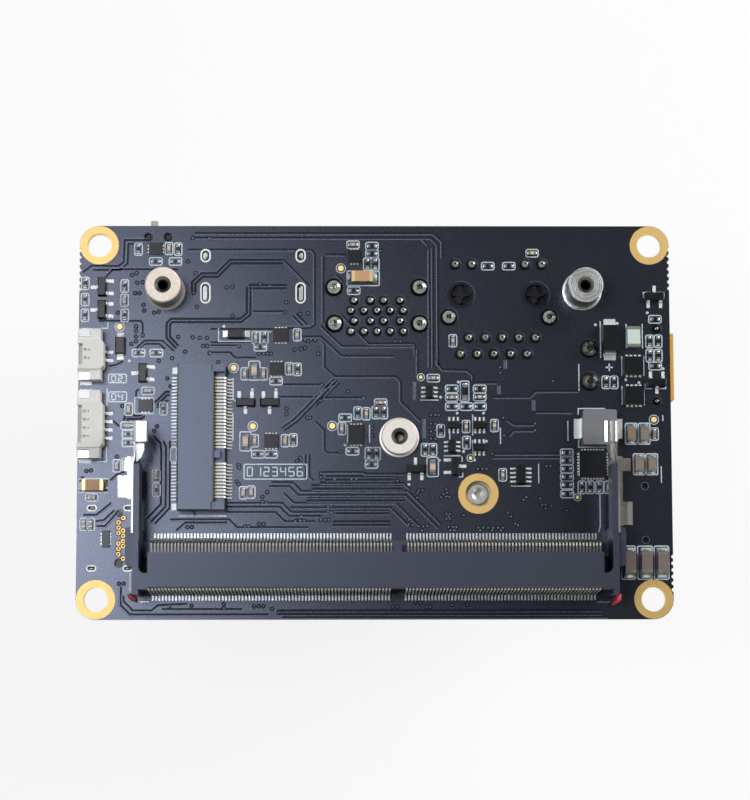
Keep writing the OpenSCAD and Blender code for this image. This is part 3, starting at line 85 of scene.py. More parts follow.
def add_node(
    tree: bpy.types.NodeTree,
    kind: str,
    settings: dict[str | int, object] | None = None,
    links: dict[str | int, bpy.types.NodeSocket] | None = None,
) -> bpy.types.Node:
    """Adds one shader node.

    Args:
        tree: the material's or world's node tree.
        kind: Blender's name of the node type.
        settings: values by input name, input index or attribute name.
        links: output sockets by the input's name or index.

    Returns:
        The new node.
    """
    node = tree.nodes.new(kind)
    for key, value in (settings or {}).items():
        if isinstance(key, int) or key in node.inputs:
            node.inputs[key].default_value = value
        else:
            setattr(node, key, value)
    for key, socket in (links or {}).items():
        tree.links.new(socket, node.inputs[key])
    return node


class Grain(Enum):
    """How a surface's colour and relief vary: scale of the noise along X, Y and Z, none for rings."""

    SPECKLED = (1.0, 1.0, 1.0)
    BRUSHED = (0.06, 1.0, 1.0)
    ROLLED = (1.0, 0.08, 1.0)
    TURNED = (0.0, 0.0, 0.0)


@dataclass(frozen=True)
class Finish:
    """One surface finish, named for the real material and the way its surface was made.

    Attributes:
        name: name of the material.
        colour: sRGB colour of most of the surface.
        second: sRGB colour that the grain mixes in.
        metallic: 1 for a metal, 0 for all else.
        roughness: mean roughness.
        grain_mm: size of the grain, as coarse as it needs to show.
        relief_mm: height of the relief.
        grain: pattern of the grain.
        centre: axis of a turned grain, in millimetres.
        ior: refractive index, kept at Blender's default on a metal.
        feet: sRGB colour of what is below Z = feet_mm, or nothing: solder-wetted on the contacts and caps,
            painted shade on the matte tin standoff, painted dark reflection on the joints.
        feet_mm: where that part ends.
        glow: share of light that passes just under the surface.
        sheen: sRGB tint of what a plastic mirrors.
        far: sRGB colour of what is beyond X = far_mm, or nothing: parts from another reel, plated otherwise,
            and painted light on the right-hand latch.
        far_mm: where that part starts.
    """

    name: str
    colour: str
    second: str
    metallic: float = 0.0
    roughness: float = 0.5
    grain_mm: float = 0.3
    relief_mm: float = 0.004
    grain: Grain = Grain.SPECKLED
    centre: Point = (0.0, 0.0)
    ior: float = 1.5
    feet: str = ""
    feet_mm: float = 0.6
    glow: float = 0.0
    sheen: str = "#ffffff"
    far: str = ""
    far_mm: float = 20.0

    def pattern(self, tree: bpy.types.NodeTree) -> tuple[bpy.types.NodeSocket, bpy.types.NodeSocket]:
        """Builds the grain.

        Args:
            tree: the material's node tree.

        Returns:
            The grain's height from 0 to 1, and the coordinates it was drawn in.
        """
        place = add_node(tree, "ShaderNodeTexCoord").outputs["Object"]
        scale = 1 / (self.grain_mm * MM)
        if self.grain is not Grain.TURNED:
            stretched = add_node(tree, "ShaderNodeMapping", {"Scale": self.grain.value}, {"Vector": place})
            look = {"Scale": scale, "Detail": 0.0 if self.grain is Grain.ROLLED else 3.0, "Roughness": 0.6}
            noise = add_node(tree, "ShaderNodeTexNoise", look, {"Vector": stretched.outputs["Vector"]})
            return noise.outputs["Fac"], place
        about = (-self.centre[0] * MM, -self.centre[1] * MM, 0.0)
        moved = add_node(tree, "ShaderNodeMapping", {"Location": about}, {"Vector": place})
        look = {"wave_type": "RINGS", "rings_direction": "Z", "Scale": scale * math.tau / WAVE_TURN}
        look |= {"Distortion": 4.0, "Detail": 3.0, "Detail Scale": 1.5}
        rings = add_node(tree, "ShaderNodeTexWave", look, {"Vector": moved.outputs["Vector"]})
        return rings.outputs["Fac"], place

    def material(self) -> bpy.types.Material:
        """Makes the material, or finds the one made before.

        Returns:
            The material of this finish.
        """
        made = bpy.data.materials.get(self.name)
        if made:
            return made
        made = bpy.data.materials.new(self.name)
        made.use_nodes = True
        tree = made.node_tree
        tree.nodes.clear()
        height, place = self.pattern(tree)
        colours = {"data_type": "RGBA", 6: linear(self.colour), 7: linear(self.second)}
        tone = add_node(tree, "ShaderNodeMix", colours, {0: height}).outputs[2]
        if self.feet:
            tone = self.zoned(tree, tone, place, ("Z", self.feet_mm, self.feet_mm - BLEND_MM), self.feet)
        if self.far:
            tone = self.zoned(tree, tone, place, ("X", self.far_mm, self.far_mm + BLEND_MM), self.far)
        low = max(self.roughness - GLOSS_SPREAD, GLOSS_MIN)
        high = min(self.roughness + GLOSS_SPREAD, 1.0)
        gloss = add_node(tree, "ShaderNodeMapRange", {"To Min": low, "To Max": high}, {"Value": height})
        depth = {"Strength": BUMP_STRENGTH, "Distance": self.relief_mm * MM}
        relief = add_node(tree, "ShaderNodeBump", depth, {"Height": height})
        shader = add_node(
            tree,
            "ShaderNodeBsdfPrincipled",
            {"Metallic": self.metallic, "IOR": self.ior, "Specular Tint": linear(self.sheen)},
            {"Base Color": tone, "Roughness": gloss.outputs["Result"], "Normal": relief.outputs["Normal"]},
        )
        if self.glow:
            shader.inputs["Subsurface Weight"].default_value = self.glow
            shader.inputs["Subsurface Scale"].default_value = self.grain_mm * MM
        add_node(tree, "ShaderNodeOutputMaterial", {}, {"Surface": shader.outputs["BSDF"]})
        return made

    def zoned(
        self,
        tree: bpy.types.NodeTree,
        tone: bpy.types.NodeSocket,
        place: bpy.types.NodeSocket,
        zone: tuple[str, float, float],
        colour: str,
    ) -> bpy.types.NodeSocket:
        """Gives one zone of the surface a colour of its own.

        Args:
            tree: the material's node tree.
            tone: colour of the rest.
            place: object coordinates.
            zone: axis, where the zone starts to show and where it is full, in millimetres.
            colour: sRGB colour of the zone.

        Returns:
            The colour with the zone in it.
        """
        axis, start, full = zone
        along = add_node(tree, "ShaderNodeSeparateXYZ", {}, {"Vector": place}).outputs[axis]
        ends = {"From Min": start * MM, "From Max": full * MM}
        level = add_node(tree, "ShaderNodeMapRange", ends, {"Value": along})
        mixed = {"data_type": "RGBA", 7: linear(colour)}
        return add_node(tree, "ShaderNodeMix", mixed, {0: level.outputs["Result"], 6: tone}).outputs[2]


@dataclass(frozen=True)
class Metal(Finish):
    """A finish of bare or plated metal."""

    metallic: float = 1.0


@dataclass(frozen=True)
class MaskedLaminate(Finish):
    """Glass-epoxy laminate under a solder mask: satin on both faces, bare and layered on the edges.

    Attributes:
        core: sRGB colour of the sawn edge.
        core_dark: sRGB colour of the thin dark layers in the edge.
        layer_mm: thickness of one layer.
    """

    core: str = "#3b3a2c"
    core_dark: str = "#191a16"
    layer_mm: float = 0.2

    def material(self) -> bpy.types.Material:
        """Adds the sawn edge to the mask.

        Returns:
            The material of the laminate.
        """
        found = bpy.data.materials.get(self.name)
        made = super().material()
        if found:
            return made
        tree = made.node_tree
        shader = next(n for n in tree.nodes if n.type == "BSDF_PRINCIPLED")
        mask = shader.inputs["Base Color"].links[0].from_socket
        place = next(n for n in tree.nodes if n.type == "TEX_COORD").outputs["Object"]
        scale = math.pi / (self.layer_mm * MM * WAVE_TURN)
        look = {"bands_direction": "Z", "Scale": scale, "Distortion": 0.6, "Detail": 2.0}
        layers = add_node(tree, "ShaderNodeTexWave", look, {"Vector": place}).outputs["Fac"]
        colours = {"data_type": "RGBA", 6: linear(self.core_dark), 7: linear(self.core)}
        edge = add_node(tree, "ShaderNodeMix", colours, {0: layers}).outputs[2]
        normal = add_node(tree, "ShaderNodeNewGeometry").outputs["Normal"]
        upright = add_node(tree, "ShaderNodeSeparateXYZ", {}, {"Vector": normal}).outputs["Z"]
        flat = add_node(tree, "ShaderNodeMath", {"operation": "ABSOLUTE"}, {0: upright}).outputs["Value"]
        both = add_node(tree, "ShaderNodeMix", {"data_type": "RGBA"}, {0: flat, 6: edge, 7: mask})
        tree.links.new(both.outputs[2], shader.inputs["Base Color"])
        return made


# The real grain of most of these surfaces is finer than a pixel of the render, which is 0.15 mm wide.
# It is drawn coarser, at the size that grain_mm gives, so that it shows

# Cold tint of what the mask and the dark plastics mirror
COOL_SHEEN = "#dbe4ff"

# Solder mask, screened and cured: a satin black that turns slate blue where light glances off it,
# the more so because the copper under it throws light back too, which a high index stands for
SOLDER_MASK = MaskedLaminate(
    "solder_mask_satin_black", "#090a0c", "#0e0f12", roughness=0.28, grain_mm=0.16, relief_mm=0.0018,
    ior=2.0, sheen=COOL_SHEEN,
)
# The same mask where there is no copper under it: lower, and a shade darker and duller
MASK_IN_GAP = Finish(
    "solder_mask_over_bare_laminate", "#07080a", "#0c0d10", roughness=0.43, grain_mm=0.2, ior=1.42,
    sheen=COOL_SHEEN,
)
# Painted highlight: a pale mask colour laid on one side of each copper edge, round one side of each joint
# and in light bars, standing in for the thin light line that the mask catches where it thins over the copper
EDGE_PAINTED_HIGHLIGHT = Finish(
    "copper_edge_painted_highlight", "#424854", "#5a616e", roughness=0.28, grain_mm=0.25, ior=2.0,
    sheen=COOL_SHEEN,
)
# Via cap: a pale colour on the small bump of mask over a plated hole, a painted highlight
VIA_PAINTED_HIGHLIGHT = Finish(
    "via_cap_painted_highlight", "#7c7f88", "#5f626b", roughness=0.35, grain_mm=0.2, sheen=COOL_SHEEN
)
# Legend ink, printed: chalky, cold white, a little broken where it crosses the relief
LEGEND_INK = Finish("legend_ink_printed", "#cfe0e8", "#a9bac3", roughness=0.3, grain_mm=0.35, ior=2.0)
# Immersion gold on copper: flat warm yellow with a soft sheen
IMMERSION_GOLD = Metal(
    "immersion_gold_plated", "#ebca87", "#deb76e", roughness=0.45, grain_mm=0.5, relief_mm=0.001
)
# The same gold on the small test points, smoother: a bright yellow glint
SPOT_GOLD = Metal("immersion_gold_test_point", "#fce7a4", "#f3d483", grain_mm=0.4, relief_mm=0.001)
# Reflowed tin solder: bright, slightly rippled
SOLDER = Metal("tin_solder_reflowed", "#d3d6d5", "#9a9e9d", roughness=0.26, grain_mm=0.25, relief_mm=0.02)
# Painted shade: a dark ring of solder colour where the slot's rim lies in the shade of the tab
SLOT_PAINTED_SHADE = Metal(
    "slot_rim_painted_shade", "#2b2a27", "#191815", roughness=0.3, grain_mm=0.25, relief_mm=0.01
)
# Tin-plated legs and lands: soft and pale from every side
LEAD_TIN = Metal("lead_tin_plated_matte", "#f1f2ef", "#b4b7b5", grain_mm=0.2, relief_mm=0.01)
# End caps, tinned over nickel: grey with a soft shine, golden on top of the thick capacitors
END_CAP = Metal(
    "ceramic_end_cap_tinned", "#f2d59a", "#e0c489", roughness=0.38, grain_mm=0.6, relief_mm=0.003,
    feet="#8b8e8d", feet_mm=0.98, far="#a39f92",
)
# Wave-soldered joints: bright peaks from the lamps; the near black mixed in by the grain and below 0.5 mm is
# a painted dark reflection on the flanks and feet
JOINT_SOLDER_PAINTED_REFLECTION = Metal(
    "tin_solder_joint_painted_reflection", "#cdd0c7", "#1e201f", roughness=0.14, grain_mm=0.5, relief_mm=0.1,
    feet="#1c1d1d", feet_mm=0.5,
)
# Glass-filled nylon, moulded: slate black with a faint mottling of fibres
SOCKET_NYLON = Finish(
    "glass_filled_nylon_moulded", "#30343d", "#282c35", roughness=0.38, grain_mm=0.25, ior=1.75,
    sheen=COOL_SHEEN,
)
# Copper alloy spring contacts, plated: pale grey stripes with tinned feet
SOCKET_CONTACT = Metal("contact_alloy_plated", "#d2d1c8", "#a9a79d", roughness=0.36, feet="#dfe4e8")
# Stamped stainless sheet, bright: white highlights and dark reflections from its relief; the right-hand
# latch is painted paler and warmer, as painted light
LATCH_STEEL_PAINTED_LIGHT = Metal(
    "stainless_sheet_painted_light", "#c0c3c1", "#8a8e8b", roughness=0.3, grain_mm=1.1, relief_mm=0.3,
    grain=Grain.ROLLED, far="#d8d5cf",
)
# Brass standoff with matte tin: a creamy, soft head, and below 5.6 mm a body painted greyer and darker as
# painted shade under the head
MATTE_TIN_PAINTED_SHADE = Metal(
    "brass_matte_tin_painted_shade", "#efe6dc", "#cdc2b6", roughness=0.68, grain_mm=0.45, relief_mm=0.008,
    feet="#92928c", feet_mm=5.6,
)
# Brass standoff, turned and nickel-plated: silver with tool rings
STANDOFF_NICKEL = Metal(
    "brass_nickel_plated_turned", "#f4f5f3", "#8e918e", roughness=0.38, grain_mm=0.6, relief_mm=0.03,
    grain=Grain.TURNED, centre=(31.65, 19.9),
)
# The card's standoff, tinned over brass: pale and warm
STANDOFF_TIN = Metal("brass_tin_plated_card_standoff", "#efe8e0", "#d3ccc2", grain_mm=0.4, relief_mm=0.005)
# The drive's standoff, nickel-plated: a plain silver pilot in the hole
PILOT_NICKEL = Metal("brass_nickel_plated_drive_standoff", "#dddfdc", "#aaaca9", roughness=0.36)
# Thread cut in the brass, coloured darker as painted shade deep in the bore
THREAD_PAINTED_SHADE = Metal("brass_thread_painted_shade", "#77746c", "#55524b", roughness=0.4)
# Chamfer at the mouth of a bore, coloured dull grey as painted shade at the mouth
CHAMFER_PAINTED_SHADE = Metal("bore_chamfer_painted_shade", "#8f8f86", "#66655e", roughness=0.34)
# Liquid-crystal polymer, moulded: smooth slate black, paler than the board
CARD_RESIN = Finish(
    "liquid_crystal_polymer_moulded", "#515968", "#454c5a", roughness=0.36, grain_mm=0.4, ior=1.9,
    sheen=COOL_SHEEN,
)
# The card sockets' contacts: gold at the mouth, pale along the rest, grey where they are soldered
CARD_CONTACT = Metal(
    "card_contact_alloy_plated", "#efd27a", "#e2c05c", roughness=0.4, feet="#9fa4a6", far="#cfcbc4",
    far_mm=-24.0,
)
# Natural nylon, moulded: warm off-white, slightly see-through at its edges
BEIGE_NYLON = Finish(
    "natural_nylon_moulded", "#ebeae5", "#dddbd3", roughness=0.45, grain_mm=0.6, glow=0.08
)
# Tinned sheet and wire: pale grey metal with a soft shine
TINNED = Metal("tinned_copper_sheet", "#dfe3e2", "#c6cac9", roughness=0.42)
# Nickel-plated steel sheet, brushed: cool grey with fine lines
SHIELD_STEEL = Metal(
    "nickel_plated_steel_brushed", "#c6c9cb", "#aaaeb0", roughness=0.32, grain_mm=0.2, relief_mm=0.002,
    grain=Grain.BRUSHED,
)
# Glass-filled polyester, moulded: plain black inside the ports, with a faint shine
BLACK_RESIN = Finish("black_polyester_moulded", "#0e0f11", "#151618", roughness=0.3)
# The same polyester in blue, in the stacked ports
BLUE_RESIN = Finish("blue_polyester_moulded", "#2a60a2", "#245793", roughness=0.45)
# Nylon coloured through: warm yellow, a little soft at its edges
YELLOW_NYLON = Finish("yellow_nylon_moulded", "#f0ba52", "#e6ad40", grain_mm=0.4, glow=0.05)
# Turned and gold-plated brass: small yellow glints in the ports
GOLD_PIN = Metal("brass_gold_plated_turned", "#e0b96c", "#cda456", roughness=0.3)
# Nylon, moulded: a dull ivory knob
KNOB_NYLON = Finish("ivory_nylon_moulded", "#bdb49f", "#b0a78f")
# Pressed iron powder: mid grey, gritty
PRESSED_IRON = Finish(
    "iron_powder_pressed", "#7c7d80", "#66676b", roughness=0.7, grain_mm=0.18, relief_mm=0.02
)
# Epoxy moulding compound: charcoal with a fine matte texture from the mould
EPOXY = Finish(
    "epoxy_compound_moulded", "#101315", "#0c0e10", roughness=0.3, grain_mm=0.14, relief_mm=0.003
)
# Resistor glaze, fired on alumina: glassy black
GLAZE = Finish("resistor_glaze_fired", "#0d0e11", "#16181c", roughness=0.32, grain_mm=0.2, ior=1.45)
# Barium titanate, fired: sandy pink, greyer on the parts from another reel
TAN_CERAMIC = Finish(
    "barium_titanate_fired_tan", "#dcc2ac", "#c9aa90", roughness=0.4, grain_mm=0.25, far="#857a66",
    far_mm=37.0,
)
# A thicker body of it: light brown with fine darker grain, slate brown from another reel
BROWN_CERAMIC = Finish(
    "barium_titanate_fired_brown", "#d0a47a", "#bf9268", roughness=0.45, grain_mm=0.4, far="#73675f"
)
# Alumina under glaze: pale green and smooth
PALE_CERAMIC = Finish("alumina_fuse_body_glazed", "#d6e4dc", "#c2d0c7", roughness=0.35, grain_mm=0.4)
# Thread-locking varnish: clear red, glossy, in a small uneven blob
RED_VARNISH = Finish(
    "red_varnish_dried", "#a52733", "#c24450", roughness=0.25, grain_mm=0.35, relief_mm=0.04
)
# Clouded lens: pale green, lit a little from inside by what falls on it
LAMP_LENS = Finish("lamp_lens_moulded", "#c9d6a0", "#bccb8f", roughness=0.25, grain_mm=0.4, glow=0.2)

# The CAD nodes that carry each finish
NODES: dict[Finish, tuple[str, ...]] = {
    SOLDER_MASK: ("board",),
    IMMERSION_GOLD: ("plated_lands",),
    SPOT_GOLD: ("test_points",),
    LEAD_TIN: ("slot_lands", "leadless_chip_pads", "chip_leads"),
    JOINT_SOLDER_PAINTED_REFLECTION: ("solder_joints",),
    SOCKET_NYLON: ("module_socket_housing",),
    SOCKET_CONTACT: ("module_socket_front_contacts", "module_socket_rear_contacts"),
    LATCH_STEEL_PAINTED_LIGHT: ("module_latch_left", "module_latch_right"),
    MATTE_TIN_PAINTED_SHADE: ("module_standoff_left",),
    STANDOFF_NICKEL: ("module_standoff_right",),
    STANDOFF_TIN: ("card_standoff",),
    PILOT_NICKEL: ("drive_standoff",),
    CARD_RESIN: ("card_socket_housing", "drive_socket_housing"),
    CARD_CONTACT: ("card_socket_contacts", "drive_socket_contacts"),
    BEIGE_NYLON: ("fan_header_housing", "clock_header_housing"),
    TINNED: (
        "fan_header_pins", "clock_header_pins", "usb_stack_pins", "network_jack_pins", "switch_terminals",
        "inductor_terminals", "diode_terminals",
    ),
    SHIELD_STEEL: (
        "video_port_shell", "usb_stack_shell", "network_jack_shell", "usb_c_shell", "memory_card_shell",
        "switch_cover",
    ),
    BLACK_RESIN: (
        "video_port_tongue", "network_jack_body", "usb_c_tongue", "memory_card_base", "switch_base",
    ),
    BLUE_RESIN: ("usb_stack_body",),
    GOLD_PIN: ("network_jack_springs", "port_contacts", "power_inlet_pins"),
    LAMP_LENS: ("network_lamps",),
    YELLOW_NYLON: ("power_inlet_body",),
    KNOB_NYLON: ("switch_knob",),
    PRESSED_IRON: ("power_inductor",),
    EPOXY: (
        "rectifier", "small_diodes", "power_transistors", "power_controller", "leadless_chips",
        "transistors", "logic_chips",
    ),
    GLAZE: ("chip_resistors",),
    TAN_CERAMIC: ("small_capacitors",),
    BROWN_CERAMIC: ("bulk_capacitors",),
    PALE_CERAMIC: ("surge_fuse",),
    END_CAP: ("chip_end_caps",),
}


@dataclass
class Draft:
    """Points and faces of one piece, in millimetres, until it is made.

    Attributes:
        name: name of the piece.
        points: corners.
        faces: corners of each face, by number.
    """

    name: str
    points: list[Point3] = field(default_factory=list)
    faces: list[tuple[int, ...]] = field(default_factory=list)

    def add(self, points: Iterable[Point3], faces: Iterable[tuple[int, ...]]) -> None:
        """Adds points and the faces between them.

        Args:
            points: corners of the new faces.
            faces: faces by the numbers of the new corners.
        """
        first = len(self.points)
        self.points.extend(points)
        self.faces.extend(tuple(first + i for i in face) for face in faces)

    def band(self, path: Sequence[Point], profile: Sequence[Point], closed: bool = False) -> None:
        """Lays a strip along a path, mitred at its corners.

        Args:
            path: corners of the path, from above.
            profile: offset to the right of the path, and height, of each line of the strip.
            closed: whether the path ends where it starts.
        """
        count = len(path)
        wide = len(profile)
        points = []
        for i, here in enumerate(path):
            ways = []
            for j, k in ((i - 1, i), (i, i + 1)):
                if closed or (j >= 0 and k < count):
                    ways.append((Vector(path[k % count]) - Vector(path[j % count])).normalized())
            way = sum(ways, Vector((0.0, 0.0)))
            way = way.normalized() if way.length > 1e-6 else ways[0]
            side = Vector((way.y, -way.x))
            stretch = 1 / max(way.dot(ways[0]), MITRE_LIMIT)
            for offset, height in profile:
                spot = Vector(here) + side * offset * stretch
                points.append((spot.x, spot.y, height))
        faces = []
        for i in range(count if closed else count - 1):
            a, b = i * wide, (i + 1) % count * wide
            faces.extend((a + k + 1, a + k, b + k, b + k + 1) for k in range(wide - 1))
        self.add(points, faces)

    def block(self, low: Point3, high: Point3, inset: float = 0.0) -> None:
        """Adds a block whose upper face may be smaller than its foot.

        Args:
            low: lowest corner.
            high: highest corner.
            inset: how far the upper edges stand in.
        """
        (x0, y0, z0), (x1, y1, z1) = low, high
        corners = []
        for z, i in ((z0, 0.0), (z1, inset)):
            corners += [(x0 + i, y0 + i, z), (x1 - i, y0 + i, z), (x1 - i, y1 - i, z), (x0 + i, y1 - i, z)]
        sides = [(k, (k + 1) % 4, (k + 1) % 4 + 4, k + 4) for k in range(4)]
        self.add(corners, [(3, 2, 1, 0), (4, 5, 6, 7), *sides])

    def tube(self, rings: Sequence[Sequence[Point3]]) -> None:
        """Joins rings of as many points each into one skin.

        Args:
            rings: the points of each ring, from one end to the other.
        """
        steps = len(rings[0])
        faces = []
        for r in range(len(rings) - 1):
            for k in range(steps):
                a, b = r * steps + k, r * steps + (k + 1) % steps
                faces.append((a, b, b + steps, a + steps))
        self.add([point for ring in rings for point in ring], faces)

    def turned(self, centre: Point, rings: Sequence[Point], steps: int = 16) -> None:
        """Adds a turned shape about an upright axis.

        Args:
            centre: where the axis stands.
            rings: radius and height of each ring, from one end to the other.
            steps: corners of a ring.
        """
        self.tube([[(x, y, height) for x, y in circle(centre, radius, steps)] for radius, height in rings])

    def turned_over(self, board_t: float) -> None:
        """Turns the whole draft over to the underside, about the board's middle plane.

        Args:
            board_t: thickness of the board.
        """
        self.points = [(x, y, -board_t - z) for x, y, z in self.points]
        self.faces = [face[::-1] for face in self.faces]

    def place(self, material: bpy.types.Material, smooth: bool) -> bpy.types.Object:
        """Puts the shape in the scene.

        Args:
            material: its material.
            smooth: whether its faces are shaded as one curved surface.

        Returns:
            The new object.
        """
        mesh = bpy.data.meshes.new(self.name)
        mesh.from_pydata([Vector(p) * MM for p in self.points], [], self.faces)
        mesh.validate()
        mesh.materials.append(material)
        mesh.shade_smooth() if smooth else mesh.shade_flat()
        placed = bpy.data.objects.new(self.name, mesh)
        bpy.context.scene.collection.objects.link(placed)
        return placed

    def make(self, finish: Finish, slot: str, smooth: bool = False, body: str = BODY) -> None:
        """Makes the piece and lets it ride on the board.

        Args:
            finish: its finish.
            slot: material slot of the record that it belongs to; not used.
            smooth: whether its faces are shaded as one curved surface.
            body: body that it moves with.
        """
        piece = self.place(finish.material(), smooth)
        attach(piece, body)
        log.info("%s: %d faces", self.name, len(piece.data.polygons))


@dataclass(frozen=True)
class Island:
    """Box round one separate solid of a CAD node, in millimetres.

    Attributes:
        low: lowest corner.
        high: highest corner.
    """

    low: Point3
    high: Point3

    @property
    def middle(self) -> Vector:
        """Middle of the box."""
        return (Vector(self.low) + Vector(self.high)) / 2

    @property
    def size(self) -> Vector:
        """Lengths of the box's sides."""
        return Vector(self.high) - Vector(self.low)


def islands(node: str) -> list[Island]:
    """Finds the separate solids of a CAD node.

    Args:
        node: name of the node.

    Returns:
        The box of each solid, from left to right.
    """
    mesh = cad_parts[node].data
    spots: dict[tuple[int, int, int], int] = {}
    owner = []
    for vertex in mesh.vertices:
        key = tuple(round(c / MICRON) for c in vertex.co)
        owner.append(spots.setdefault(key, len(spots)))
    parent = list(range(len(spots)))

    def root(i: int) -> int:
        """Follows the links from i to the head of its solid."""
        while parent[i] != i:
            parent[i] = parent[parent[i]]
            i = parent[i]
        return i

    for polygon in mesh.polygons:
        first = root(owner[polygon.vertices[0]])
        for v in polygon.vertices[1:]:
            parent[root(owner[v])] = first
    boxes: dict[int, list[list[float]]] = {}
    for vertex, own in zip(mesh.vertices, owner):
        low, high = boxes.setdefault(root(own), [[math.inf] * 3, [-math.inf] * 3])
        for axis in range(3):
            value = vertex.co[axis] / MM
            low[axis] = min(low[axis], value)
            high[axis] = max(high[axis], value)
    found = [Island(tuple(low), tuple(high)) for low, high in boxes.values()]
    return sorted(found, key=lambda box: box.low)


def rounded(centre: Point, size: Point, radius: float, steps: int = 3) -> list[Point]:
    """Draws a rectangle with round corners.

    Args:
        centre: its middle.
        size: its length and width.
        radius: radius of its corners.
        steps: points of each corner.

    Returns:
        The corners of the outline, in order.
    """
    half_x, half_y = size[0] / 2 - radius, size[1] / 2 - radius
    outline = []
    for quarter, (sx, sy) in enumerate(((1, 1), (-1, 1), (-1, -1), (1, -1))):
        for k in range(steps):
            turn = math.pi / 2 * (quarter + k / (steps - 1))
            x = centre[0] + sx * half_x + radius * math.cos(turn)
            y = centre[1] + sy * half_y + radius * math.sin(turn)
            outline.append((x, y))
    return outline


def circle(centre: Point, radius: float, steps: int = 20) -> list[Point]:
    """Draws a circle.

    Args:
        centre: its middle.
        radius: its radius.
        steps: corners of the outline.

    Returns:
        The corners of the outline, in order.
    """
    turns = [math.tau * k / steps for k in range(steps)]
    return [(centre[0] + radius * math.cos(t), centre[1] + radius * math.sin(t)) for t in turns]


